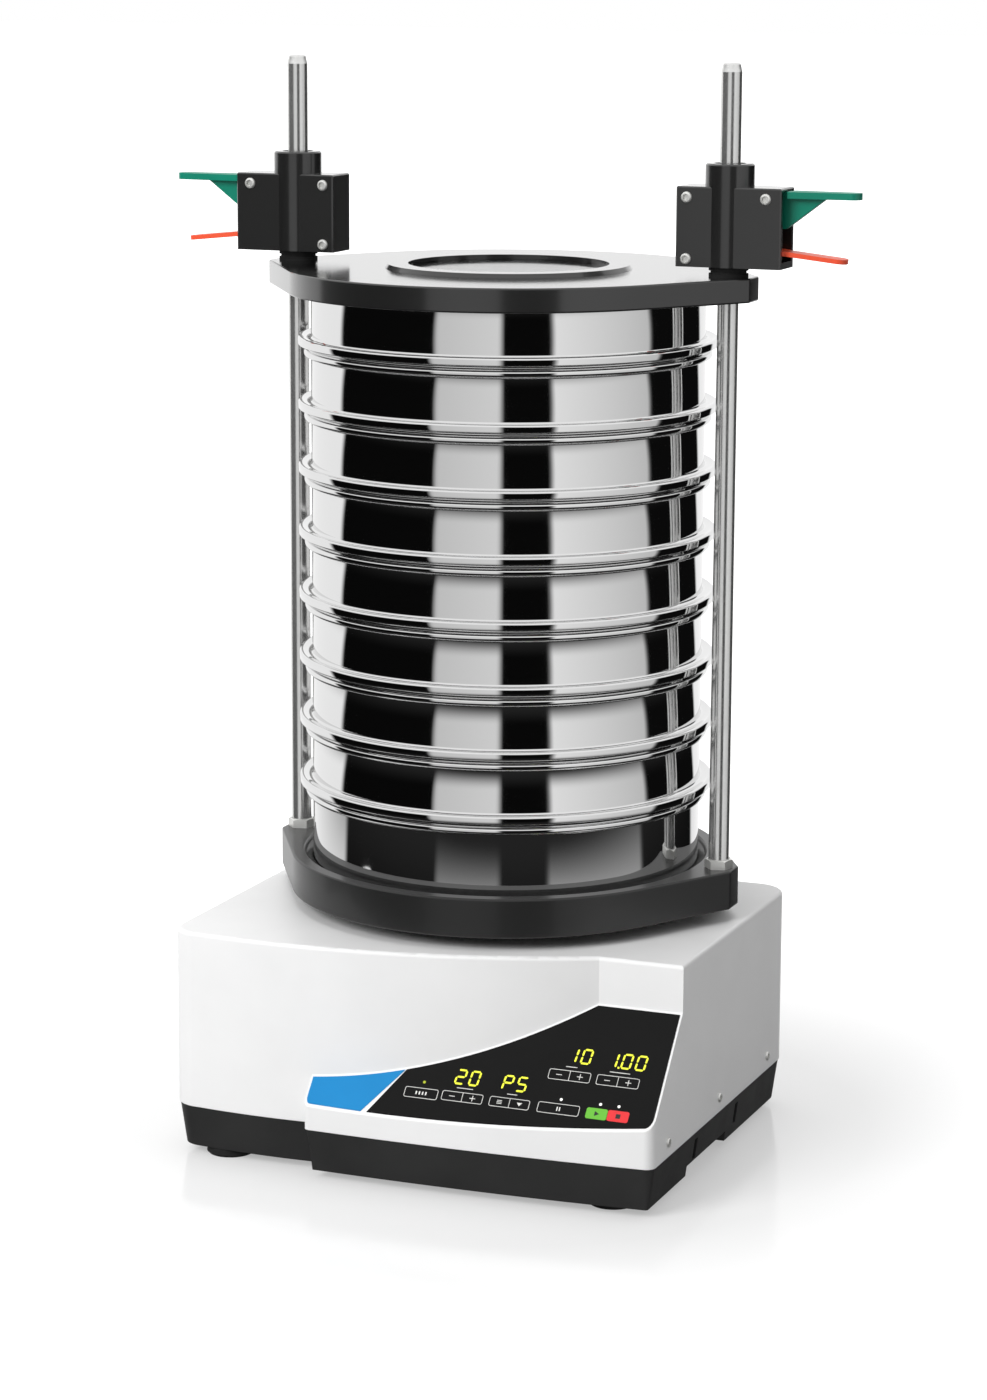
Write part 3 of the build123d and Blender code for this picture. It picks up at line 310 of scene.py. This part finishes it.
def addPiece(name, vertices, faces, finish, smooth=True, sharpDegrees=40):
    mesh = bpy.data.meshes.new(name)
    mesh.from_pydata([tuple(v) for v in vertices], [], faces)
    mesh.materials.append(materials[finish])
    mesh.polygons.foreach_set("use_smooth", [smooth] * len(mesh.polygons))
    if smooth:
        mesh.set_sharp_from_angle(angle=math.radians(sharpDegrees))
    mesh.update()
    piece = bpy.data.objects.new(name, mesh)
    bpy.context.scene.collection.objects.link(piece)
    return piece


def arcPoints(middle, radii, fromDegrees, toDegrees, steps):
    turns = [math.radians(fromDegrees + (toDegrees - fromDegrees) * i / steps) for i in range(steps + 1)]
    return [(middle[0] + radii[0] * math.cos(a), middle[1] + radii[1] * math.sin(a)) for a in turns]


def turnedPiece(name, outline, finish, steps):
    # an outline point on the axis becomes one vertex, and every other one a ring
    vertices, rings, faces = [], [], []
    for radius, height in outline:
        if radius < tiny:
            rings.append([len(vertices)] * steps)
            vertices.append((0, stackY * mm, height * mm))
        else:
            rings.append(list(range(len(vertices), len(vertices) + steps)))
            vertices += [(radius * mm * math.cos(a), stackY * mm + radius * mm * math.sin(a), height * mm)
                         for a in (2 * math.pi * i / steps for i in range(steps))]
    closed = outline[0][0] > tiny
    for i in range(len(rings) if closed else len(rings) - 1):
        low, high = rings[i], rings[(i + 1) % len(rings)]
        for j in range(steps):
            k = (j + 1) % steps
            corners = list(dict.fromkeys([low[j], low[k], high[k], high[j]]))
            if len(corners) > 2:
                faces.append(corners)
    return addPiece(name, vertices, faces, finish)


def rimOutline(top):
    # the rolled bead runs into the wall in a small hollow, and above it a neck leans out to the top edge
    turn, neckFoot = sieve["beadRound"], top - sieve["neckHeight"]
    foot = neckFoot - sieve["beadHeight"]
    middle = sieve["beadRadius"] - turn
    across, down = sieve["hollow"]
    wall, neck, steps = sieve["bodyRadius"], sieve["neckRadius"], sieve["beadSteps"]
    hollow = arcPoints((wall + across, foot - down), (across, down), 180, 90, sieve["hollowSteps"])
    return (hollow + arcPoints((middle, foot + turn), (turn, turn), -90, 0, steps)
            + arcPoints((middle, neckFoot - turn), (turn, turn), 0, 90, steps)
            + [(neck - sieve["neckLean"], neckFoot + sieve["neckStep"]), (neck, top)])


def sieveOutline(seat):
    # from the foot up: the skirt, a rounded lip with a gutter above it, the wall and the rim
    body, skirt, sheet = sieve["bodyRadius"], sieve["skirtRadius"], sieve["sheet"]
    low, top = seat - sieve["skirtDepth"], seat + sieve["pitch"]
    foot, turn, crest = sieve["flangeFoot"], sieve["flangeRound"], seat + sieve["flangeHeight"]
    out, gutter, ledge = sieve["flangeRadius"], crest - sieve["gutter"], seat + sieve["ledge"]
    lip = (arcPoints((out - foot, seat + foot), (foot, foot), -90, 0, sieve["footSteps"])
           + arcPoints((out - turn, crest - turn), (turn, turn), 0, sieve["flangeTurn"], sieve["crestSteps"]))
    hollow = [(body + across, gutter + up) for across, up in sieve["gutterCurve"]]
    return ([(skirt - sheet, low), (skirt, low), (skirt, seat)] + lip + hollow + rimOutline(top)
            + [(body - sheet, top), (body - sheet, ledge), (skirt - sheet, ledge)])


def panOutline():
    body, sheet, floor, corner = sieve["bodyRadius"], sieve["sheet"], pan["floor"], pan["corner"]
    middle, top, inside = (body - corner, floor + corner), sieve["firstSeat"], corner - sheet
    return ([(0, floor)] + arcPoints(middle, (corner, corner), -90, 0, pan["steps"]) + rimOutline(top)
            + [(body - sheet, top)] + arcPoints(middle, (inside, inside), 0, -90, pan["steps"])
            + [(0, floor + sheet)])


panPiece = turnedPiece("panPolished", panOutline(), "steelPolished", sieve["steps"])
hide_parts("collecting_pan")
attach(panPiece, "pan")
for number in range(1, sieve["count"] + 1):
    seatLevel = sieve["firstSeat"] + (number - 1) * sieve["pitch"]
    sievePiece = turnedPiece(f"sievePolished{number}", sieveOutline(seatLevel), "steelPolished",
                             sieve["steps"])
    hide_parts(f"sieve_frame_{number}")
    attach(sievePiece, f"sieve_{number}")
print("sieves and pan turned")

# outlines of the lid and the sieve plate: a disc with two ears that carry the rods (mm)
earPlates = {
    "lid_plate": {"piece": "lidTurned", "body": "lid", "finish": "anodised", "radius": 171.0, "earX": 198.6,
                  "earHalf": 11.0, "corner": 4.5, "edge": 1.3, "low": 658.5, "top": 677.0, "rodHole": 9.0},
    "sieve_plate": {"piece": "sievePlateTurned", "body": "platform", "finish": "castBlack", "radius": 170.0,
                    "earX": 191.0, "earHalf": 10.0, "corner": 4.0, "edge": 1.5, "low": 188.5, "top": 219.0,
                    "rodHole": 8.0}}
# what the new outline takes away: flat faces and those near the rim, but no wall of a rod's hole
earCut = {"rodX": 178.0, "holeWall": 2.0, "rimBand": 2.2, "near": 0.05, "upright": 0.99, "sharpDegrees": 30,
          "cornerSteps": 6, "discSteps": 72, "edgeSteps": 4, "shortest": 1e-4, "levelNear": 0.02}


def earOutline(plate, inset):
    # straight flanks run from the ear's rounded corners to the disc and touch it as tangents
    radius, reach, half, corner = plate["radius"], plate["earX"], plate["earHalf"], plate["corner"]
    touch = math.degrees(math.atan2(half, reach) + math.acos(radius / math.hypot(reach, half)))
    x = reach - corner
    y = (radius - corner - x * math.cos(math.radians(touch))) / math.sin(math.radians(touch))
    small, large = corner - inset, radius - inset
    turns = [((x, y), small, 0, touch), ((0, 0), large, touch, 180 - touch),
             ((-x, y), small, 180 - touch, 180), ((-x, -y), small, 180, 180 + touch),
             ((0, 0), large, 180 + touch, 360 - touch), ((x, -y), small, 360 - touch, 360)]
    points = []
    for middle, reached, start, end in turns:
        steps = earCut["discSteps"] if reached == large else earCut["cornerSteps"]
        points += arcPoints(middle, (reached, reached), start, end, steps)
    return [p for p, q in zip(points, points[1:] + points[:1]) if math.dist(p, q) > earCut["shortest"]]


def refitEars(nodeName, plate):
    # the machined inside stays, and the outside is cut to the ears' outline with rounded edges
    cut = bmesh.new()
    cut.from_mesh(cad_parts[nodeName].data)
    cut.transform(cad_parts[nodeName].matrix_world)
    bmesh.ops.remove_doubles(cut, verts=cut.verts, dist=tiny)
    cut.normal_update()
    near, upright = earCut["near"], earCut["upright"]
    outside = []
    for face in cut.faces:
        middle = face.calc_center_median() / mm
        x, y, z, up = middle.x, middle.y - stackY, middle.z, face.normal.z
        flatTop = up > upright and abs(z - plate["top"]) < near
        flatLow = up < -upright and abs(z - plate["low"]) < near
        atRim = math.hypot(x, y) > plate["radius"] - earCut["rimBand"]
        atHole = math.hypot(abs(x) - earCut["rodX"], y) <= plate["rodHole"] + earCut["holeWall"]
        if flatTop or flatLow or (atRim and not atHole):
            outside.append(face)
    bmesh.ops.delete(cut, geom=outside, context="FACES")
    edge, steps = plate["edge"], earCut["edgeSteps"]
    turns = [math.pi / 2 * i / steps for i in range(steps + 1)]
    levels = [(edge * (1 - math.sin(a)), plate["low"] + edge * (1 - math.cos(a))) for a in turns]
    levels += [(edge * (1 - math.cos(a)), plate["top"] - edge * (1 - math.sin(a))) for a in turns]
    loops = [[cut.verts.new((x * mm, (stackY + y) * mm, z * mm)) for x, y in earOutline(plate, inset)]
             for inset, z in levels]
    for low, high in zip(loops, loops[1:]):
        for j in range(len(low)):
            k = (j + 1) % len(low)
            cut.faces.new([low[j], low[k], high[k], high[j]])
    for level in (plate["low"], plate["top"]):
        rim = [line for line in cut.edges if line.is_boundary
               and all(abs(v.co.z / mm - level) < earCut["levelNear"] for v in line.verts)]
        bmesh.ops.triangle_fill(cut, edges=rim, use_beauty=True, normal=(0, 0, 1))
    bmesh.ops.recalc_face_normals(cut, faces=cut.faces)
    mesh = bpy.data.meshes.new(plate["piece"])
    cut.to_mesh(mesh)
    cut.free()
    mesh.materials.append(materials[plate["finish"]])
    mesh.polygons.foreach_set("material_index", [0] * len(mesh.polygons))
    mesh.polygons.foreach_set("use_smooth", [True] * len(mesh.polygons))
    mesh.set_sharp_from_angle(angle=math.radians(earCut["sharpDegrees"]))
    # the rounded edge stays smooth in itself, and sharp where it meets the flat faces and the wall
    ridges = {round(plate["low"] + edge, 3), round(plate["top"] - edge, 3), plate["low"], plate["top"]}
    for line in mesh.edges:
        heights = [round(mesh.vertices[v].co.z / mm, 3) for v in line.vertices]
        if heights[0] in ridges and heights[0] == heights[1]:
            line.use_edge_sharp = True
    piece = bpy.data.objects.new(plate["piece"], mesh)
    bpy.context.scene.collection.objects.link(piece)
    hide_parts(nodeName)
    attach(piece, plate["body"])


for nodeName, plate in earPlates.items():
    refitEars(nodeName, plate)
print("lid and sieve plate cut to outline")

# button head screws of the clamps and pan head screws of the hood's sides (mm)
clampScrew = {"head": 4.2, "height": 2.2, "edge": 0.5, "socketRadius": 2.3, "socketDepth": 1.6, "shank": 2.5,
              "length": 34.0, "rod": 178.0, "face": 16.5, "steps": 36,
              "places": [(33.5, 736.5), (-28.5, 736.5), (-28.5, 690.5)]}
sideScrew = {"head": 3.6, "height": 1.6, "edge": 0.4, "socketRadius": 2.3, "socketWaist": 0.65,
             "socketDepth": 0.9, "shank": 1.75, "length": 9.0, "wall": 200.0, "steps": 40, "level": 51.0,
             "alongY": [-174.0, -55.0, 64.0], "turnDegrees": 15}
screwDome = {"rim": 0.5, "fromDegrees": 18, "steps": 4, "sharpDegrees": 35}


def hexagonAt(angle):
    turn = (angle + math.pi / 6) % (math.pi / 3) - math.pi / 6
    return clampScrew["socketRadius"] / math.cos(turn)


def crossAt(angle):
    # how far the cross reaches: along an arm its full radius, and between two arms to their corner
    turn = abs((angle + math.pi / 4) % (math.pi / 2) - math.pi / 4)
    return min(sideScrew["socketRadius"], sideScrew["socketWaist"] / max(math.sin(turn), tiny))


def screwPiece(name, size, recess, places, finish):
    # each place is a point on the face under the head, the way out of it and the way across
    vertices, faces = [], []
    steps, dome = size["steps"], size["height"]
    for origin, out, across in places:
        side = out.cross(across)
        rim = size["socketRadius"] + screwDome["rim"]
        outline = [(0, -size["length"]), (size["shank"], -size["length"]), (size["shank"], 0),
                   (size["head"], 0), (size["head"], size["edge"])]
        outline += arcPoints((rim, size["edge"]), (size["head"] - rim, dome - size["edge"]),
                             screwDome["fromDegrees"], 90, screwDome["steps"])
        rows = [[(radius, height)] * steps for radius, height in outline]
        turns = [2 * math.pi * i / steps for i in range(steps)]
        rows += [[(recess(a), dome - depth) for a in turns] for depth in (0.0, size["socketDepth"])]
        rows.append([(0, dome - size["socketDepth"])] * steps)
        rings = []
        for row in rows:
            if row[0][0] < tiny:
                rings.append([len(vertices)] * steps)
                vertices.append((origin + out * row[0][1]) * mm)
                continue
            rings.append(list(range(len(vertices), len(vertices) + steps)))
            vertices += [(origin + (across * math.cos(a) + side * math.sin(a)) * radius + out * height) * mm
                         for a, (radius, height) in zip(turns, row)]
        for low, high in zip(rings, rings[1:]):
            for j in range(steps):
                k = (j + 1) % steps
                corners = list(dict.fromkeys([low[j], low[k], high[k], high[j]]))
                if len(corners) > 2:
                    faces.append(corners)
    return addPiece(name, vertices, faces, finish, sharpDegrees=screwDome["sharpDegrees"])


for sideName, sign in (("left", -1), ("right", 1)):
    heads = [(Vector((sign * (clampScrew["rod"] + x), stackY - clampScrew["face"], z)), Vector((0, -1, 0)),
              Vector((1, 0, 0))) for x, z in clampScrew["places"]]
    clampHeads = screwPiece(f"clampButtonHeads{sideName.title()}", clampScrew, hexagonAt, heads, "steelZinc")
    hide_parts(f"clamp_screws_{sideName}")
    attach(clampHeads, f"clamp_{sideName}")
crossTurn = math.radians(sideScrew["turnDegrees"])
sidePlaces = [(Vector((sign * sideScrew["wall"], stackY + y, sideScrew["level"])), Vector((sign, 0, 0)),
               Vector((0, math.cos(crossTurn), math.sin(crossTurn))))
              for sign in (-1, 1) for y in sideScrew["alongY"]]
sideHeads = screwPiece("sidePanHeads", sideScrew, crossAt, sidePlaces, "steelZinc")
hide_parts("side_screws")
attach(sideHeads, "base")
print("screws turned")

# control panel, drawn on the slope: x across, up along the slope from its foot line (mm)
panel = {"footY": stackY - 216.0, "footZ": 60.0, "slope": 49.0, "film": 0.5, "ink": 0.06, "lift": 0.01}
digits = {"height": 12.7, "width": 8.2, "stroke": 1.5, "gap": 0.25, "lean": 0.09, "pitch": 11.2,
          "places": [(47.0, 36.6, "20"), (85.0, 36.6, "P5"), (129.5, 65.0, "10"), (167.0, 65.0, "1.00")]}
keys = {"line": 0.42, "corner": 1.6, "cornerSteps": 5,
        "plain": [(13.4, 19.6, 27.0, 8.5), (123.5, 20.8, 33.0, 8.6)],
        "pairs": [(46.6, 20.4, 33.0, 7.9), (84.5, 20.5, 32.0, 8.0),
                  (125.4, 48.2, 33.2, 8.4), (163.6, 48.2, 33.4, 8.4)],
        "start": (153.7, 20.8, 16.6, 8.8), "stop": (170.6, 20.8, 16.6, 8.8),
        "lamps": [(123.9, 28.6), (155.0, 28.6), (169.5, 28.6)], "amberLamp": (13.7, 28.7),
        "lampRadius": 1.15, "lampCorners": 20,
        "captions": [(47.0, 27.6, 13.0), (85.0, 27.6, 8.0), (125.4, 55.4, 9.0), (163.6, 55.4, 16.0)],
        "captionHeight": 0.55}
# generic signs on the keys: width and height of a bar, and the step from the key's middle
signs = {"dash": (4.6, 0.55), "plusArm": (0.55, 2.0), "plusStep": 1.3,
         "tick": (1.1, 2.6), "tickPitch": 2.6, "pauseBar": (0.9, 3.2), "pauseStep": 1.0,
         "listBar": (4.0, 0.5), "listStep": 1.2, "arrow": [(-2.2, 1.2), (0.0, -1.6), (2.2, 1.2)],
         "play": [(-1.6, -2.0), (2.2, 0.0), (-1.6, 2.0)], "stopSquare": (3.6, 3.6)}


def panelPoint(x, up, lift):
    angle = math.radians(panel["slope"])
    out = panel["film"] + lift
    return (x * mm, (panel["footY"] + up * math.cos(angle) - out * math.sin(angle)) * mm,
            (panel["footZ"] + up * math.sin(angle) + out * math.cos(angle)) * mm)


def printedShape(name, outlines, finish, lift=panel["lift"]):
    # each outline is a flat printed shape, raised by the thickness of the ink
    vertices, faces = [], []
    for outline in outlines:
        count, start = len(outline), len(vertices)
        vertices += [panelPoint(x, up, lift) for x, up in outline]
        vertices += [panelPoint(x, up, lift + panel["ink"]) for x, up in outline]
        faces.append([start + count + i for i in range(count)])
        faces.append([start + i for i in reversed(range(count))])
        for i in range(count):
            k = (i + 1) % count
            faces.append([start + i, start + k, start + count + k, start + count + i])
    piece = addPiece(name, vertices, faces, finish, smooth=False)
    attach(piece, "base")


def roundedBox(x, up, width, height, corner):
    points = []
    for quarter, (sx, sy) in enumerate(((1, 1), (-1, 1), (-1, -1), (1, -1))):
        middle = (x + sx * (width / 2 - corner), up + sy * (height / 2 - corner))
        points += arcPoints(middle, (corner, corner), quarter * 90, quarter * 90 + 90, keys["cornerSteps"])
    return points


def bar(x, up, width, height):
    return [(x - width / 2, up - height / 2), (x + width / 2, up - height / 2),
            (x + width / 2, up + height / 2), (x - width / 2, up + height / 2)]


def frameStrips(x, up, width, height, line, corner):
    # a key's outline, cut into quads between its outer and inner rounded box
    outer = roundedBox(x, up, width, height, corner)
    inner = roundedBox(x, up, width - 2 * line, height - 2 * line, corner - line)
    count = len(outer)
    return [[outer[i], outer[(i + 1) % count], inner[(i + 1) % count], inner[i]] for i in range(count)]


segmentMap = {"0": "abcdef", "1": "bc", "2": "abged", "5": "afgcd", "P": "abefg"}


def levelSegment(x, up, length, half):
    inner = length / 2 - half
    return [(x - length / 2, up), (x - inner, up - half), (x + inner, up - half),
            (x + length / 2, up), (x + inner, up + half), (x - inner, up + half)]


def tallSegment(x, up, length, half):
    inner = length / 2 - half
    return [(x, up - length / 2), (x + half, up - inner), (x + half, up + inner),
            (x, up + length / 2), (x - half, up + inner), (x - half, up - inner)]


def digitSegments(x, up, character):
    # seven leaning segments, each a bar with pointed ends
    half, gap = digits["stroke"] / 2, digits["gap"]
    reach, rise = digits["width"] / 2 - half, digits["height"] / 2 - half
    long, high = 2 * reach - 2 * gap, rise - 2 * gap
    shapes = {"a": levelSegment(0, rise, long, half), "g": levelSegment(0, 0, long, half),
              "d": levelSegment(0, -rise, long, half),
              "b": tallSegment(reach, rise / 2, high, half), "c": tallSegment(reach, -rise / 2, high, half),
              "f": tallSegment(-reach, rise / 2, high, half), "e": tallSegment(-reach, -rise / 2, high, half)}
    return [[(x + px + digits["lean"] * py, up + py) for px, py in shapes[s]] for s in segmentMap[character]]


def lampDisc(place):
    corners = keys["lampCorners"]
    return arcPoints(place, (keys["lampRadius"],) * 2, 0, 360 * (corners - 1) / corners, corners - 1)


litShapes = []
for x, up, text in digits["places"]:
    characters = [c for c in text if c != "."]
    start = x - digits["pitch"] * (len(characters) - 1) / 2
    for index, character in enumerate(characters):
        litShapes += digitSegments(start + index * digits["pitch"], up, character)
    if "." in text:
        dotX = start + (text.index(".") - 0.5) * digits["pitch"]
        dotUp = up - digits["height"] / 2 + digits["stroke"] / 2
        litShapes.append(bar(dotX, dotUp, digits["stroke"], digits["stroke"]))
printedShape("displayDigits", litShapes, "segments")

inkShapes = []
for x, up, width, height in keys["plain"] + keys["pairs"]:
    inkShapes += frameStrips(x, up, width, height, keys["line"], keys["corner"])
for x, up, _, height in keys["pairs"]:
    inkShapes.append(bar(x, up, keys["line"], height - 2 * keys["line"]))
for x, up, width, _ in [keys["pairs"][0]] + keys["pairs"][2:]:
    inkShapes += [bar(x + side * width / 4, up, *signs["dash"]) for side in (-1, 1)]
    inkShapes += [bar(x + width / 4, up + step * signs["plusStep"], *signs["plusArm"]) for step in (-1, 1)]
soloX, soloUp = keys["plain"][0][:2]
inkShapes += [bar(soloX + step * signs["tickPitch"], soloUp, *signs["tick"])
              for step in (-1.5, -0.5, 0.5, 1.5)]
pauseX, pauseUp = keys["plain"][1][:2]
inkShapes += [bar(pauseX + step * signs["pauseStep"], pauseUp, *signs["pauseBar"]) for step in (-1, 1)]
storeX, storeUp, storeWidth = keys["pairs"][1][:3]
listX, arrowX = storeX - storeWidth / 4, storeX + storeWidth / 4
inkShapes += [bar(listX, storeUp + step * signs["listStep"], *signs["listBar"]) for step in (-1, 0, 1)]
inkShapes.append([(arrowX + px, storeUp + py) for px, py in signs["arrow"]])
inkShapes += [bar(x, up, width, keys["captionHeight"]) for x, up, width in keys["captions"]]
printedShape("keyOutlines", inkShapes, "inkWhite")
for name, finish in (("start", "inkGreen"), ("stop", "inkRed")):
    x, up, width, height = keys[name]
    printedShape(f"{name}Key", [roundedBox(x, up, width, height, keys["corner"])], finish)
startX, startUp = keys["start"][:2]
stopX, stopUp = keys["stop"][:2]
playSign = [(startX + px, startUp + py) for px, py in signs["play"]]
printedShape("keySymbols", [playSign, bar(stopX, stopUp, *signs["stopSquare"])], "inkDark",
             panel["lift"] + panel["ink"])
printedShape("signalLamps", [lampDisc(place) for place in keys["lamps"]], "lampWhite")
printedShape("signalLampAmber", [lampDisc(keys["amberLamp"])], "lampAmber")
print("control panel printed")

# floor: pale, lit by the lamps, and lifted to white for the camera alone
floorLook = {"size": 60.0, "colour": "#BEBEBE", "roughness": 0.14, "ior": 1.25,
             "lift": 0.4, "farLift": 1.0, "fadeFrom": 0.3, "fadeTo": 0.85}      # metres from the origin


def buildFloor():
    half = floorLook["size"] / 2
    mesh = bpy.data.meshes.new("studioFloor")
    corners = [(-half, -half, 0), (half, -half, 0), (half, half, 0), (-half, half, 0)]
    mesh.from_pydata(corners, [], [(0, 1, 2, 3)])
    floor = bpy.data.objects.new("studioFloor", mesh)
    bpy.context.scene.collection.objects.link(floor)
    material, tree, shader, place = newMaterial(
        "studio board pale", {"Base Color": linear(floorLook["colour"]), "Roughness": floorLook["roughness"],
                              "IOR": floorLook["ior"], "Emission Color": (1, 1, 1, 1)})
    reach = addNode(tree, "ShaderNodeVectorMath", links={"Vector": place}, operation="LENGTH")
    fade = addNode(tree, "ShaderNodeMapRange",
                   {"From Min": floorLook["fadeFrom"], "From Max": floorLook["fadeTo"],
                    "To Min": floorLook["lift"], "To Max": floorLook["farLift"]},
                   {"Value": reach.outputs["Value"]})
    rays = addNode(tree, "ShaderNodeLightPath")
    lift = addNode(tree, "ShaderNodeMath", operation="MULTIPLY",
                   links={0: rays.outputs["Is Camera Ray"], 1: fade.outputs["Result"]})
    tree.links.new(lift.outputs[0], shader.inputs["Emission Strength"])
    mesh.materials.append(material)
    floor.visible_glossy = False


def grey(value):
    return [value] * 3 + [1]


def buildBands(tree, axes):
    # brightness by azimuth, which is nought towards the front (-Y) and grows towards the right (+X)
    ahead = addNode(tree, "ShaderNodeMath", {1: -1.0}, {0: axes.outputs["Y"]}, operation="MULTIPLY")
    azimuth = addNode(tree, "ShaderNodeMath", operation="ARCTAN2",
                      links={0: axes.outputs["X"], 1: ahead.outputs[0]})
    turn = addNode(tree, "ShaderNodeMapRange", {"From Min": -math.pi, "From Max": math.pi},
                   {"Value": azimuth.outputs[0]})
    ramp = addNode(tree, "ShaderNodeValToRGB", links={"Fac": turn.outputs["Result"]})
    stops = ramp.color_ramp.elements
    while len(stops) > 1:
        stops.remove(stops[-1])
    stops[0].position = 0.0
    stops[0].color = grey(studio["bands"][0][2])
    for first, second in zip(studio["bands"], studio["bands"][1:]):
        for offset, value in ((-studio["edge"], first[3]), (studio["edge"], second[2])):
            stop = stops.new((first[1] + offset + 180) / 360)
            stop.color = grey(value)
    return ramp.outputs["Color"]


def blendByHeight(tree, axes, span, below, value):
    # the colour that comes in gives way to a plain brightness over this span of the direction's height
    blend = addNode(tree, "ShaderNodeMapRange", {"From Min": span[0], "From Max": span[1]},
                    {"Value": axes.outputs["Z"]}, interpolation_type="SMOOTHSTEP")
    mixed = addNode(tree, "ShaderNodeMixRGB", {"Color2": grey(value)},
                    {"Fac": blend.outputs["Result"], "Color1": below})
    return mixed.outputs["Color"]


def buildWorld():
    # gloss rays meet light screens, dark flags and a dark table top, all others a plain pale room
    world = bpy.data.worlds.new("studio")
    bpy.context.scene.world = world
    world.use_nodes = True
    tree = world.node_tree
    tree.nodes.clear()
    place = addNode(tree, "ShaderNodeTexCoord")
    axes = addNode(tree, "ShaderNodeSeparateXYZ", links={"Vector": place.outputs["Generated"]})
    mirrored = blendByHeight(tree, axes, studio["rise"], buildBands(tree, axes), studio["tent"])
    mirrored = blendByHeight(tree, axes, studio["fall"], mirrored, studio["below"])
    rays = addNode(tree, "ShaderNodeLightPath")
    plain = addNode(tree, "ShaderNodeMixRGB",
                    {"Color1": grey(studio["ambient"]), "Color2": grey(studio["background"])},
                    {"Fac": rays.outputs["Is Camera Ray"]})
    seen = addNode(tree, "ShaderNodeMixRGB",
                   links={"Fac": rays.outputs["Is Glossy Ray"], "Color1": plain.outputs["Color"],
                          "Color2": mirrored})
    light = addNode(tree, "ShaderNodeBackground", links={"Color": seen.outputs["Color"]})
    addNode(tree, "ShaderNodeOutputWorld", links={"Surface": light.outputs["Background"]})


def buildLamps():
    for name, lamp in lamps.items():
        data = bpy.data.lights.new(name, "AREA")
        data.size, data.energy = lamp["size"], lamp["power"]
        light = bpy.data.objects.new(name, data)
        bpy.context.scene.collection.objects.link(light)
        light.location = lamp["place"]
        aim = lampAim - Vector(lamp["place"])
        light.rotation_euler = aim.to_track_quat("-Z", "Y").to_euler()
        light.visible_glossy = False


def buildCamera():
    data = bpy.data.cameras.new("photoCamera")
    data.sensor_width = camera["sensor"]
    data.lens = camera["focalPixels"] * camera["sensor"] / camera["imageHeight"]
    data.clip_start, data.clip_end = camera["clip"]
    piece = bpy.data.objects.new("photoCamera", data)
    bpy.context.scene.collection.objects.link(piece)
    azimuth, elevation, roll = (math.radians(camera[k]) for k in ("azimuth", "elevation", "roll"))
    back = Vector((math.sin(azimuth) * math.cos(elevation), -math.cos(azimuth) * math.cos(elevation),
                   math.sin(elevation)))
    right = (-back).cross(Vector((0, 0, 1))).normalized()
    up = right.cross(-back)
    rolledRight = right * math.cos(roll) + up * math.sin(roll)
    rolledUp = -right * math.sin(roll) + up * math.cos(roll)
    target = Vector((camera["targetX"], camera["targetY"], camera["targetZ"])) * mm
    turn = Matrix((rolledRight, rolledUp, back)).transposed().to_4x4()
    piece.matrix_world = Matrix.Translation(target + back * camera["distance"] * mm) @ turn
    bpy.context.scene.camera = piece


bpy.context.scene.view_settings.view_transform = "Standard"
buildCamera()
buildFloor()
buildWorld()
buildLamps()
print("studio lit")
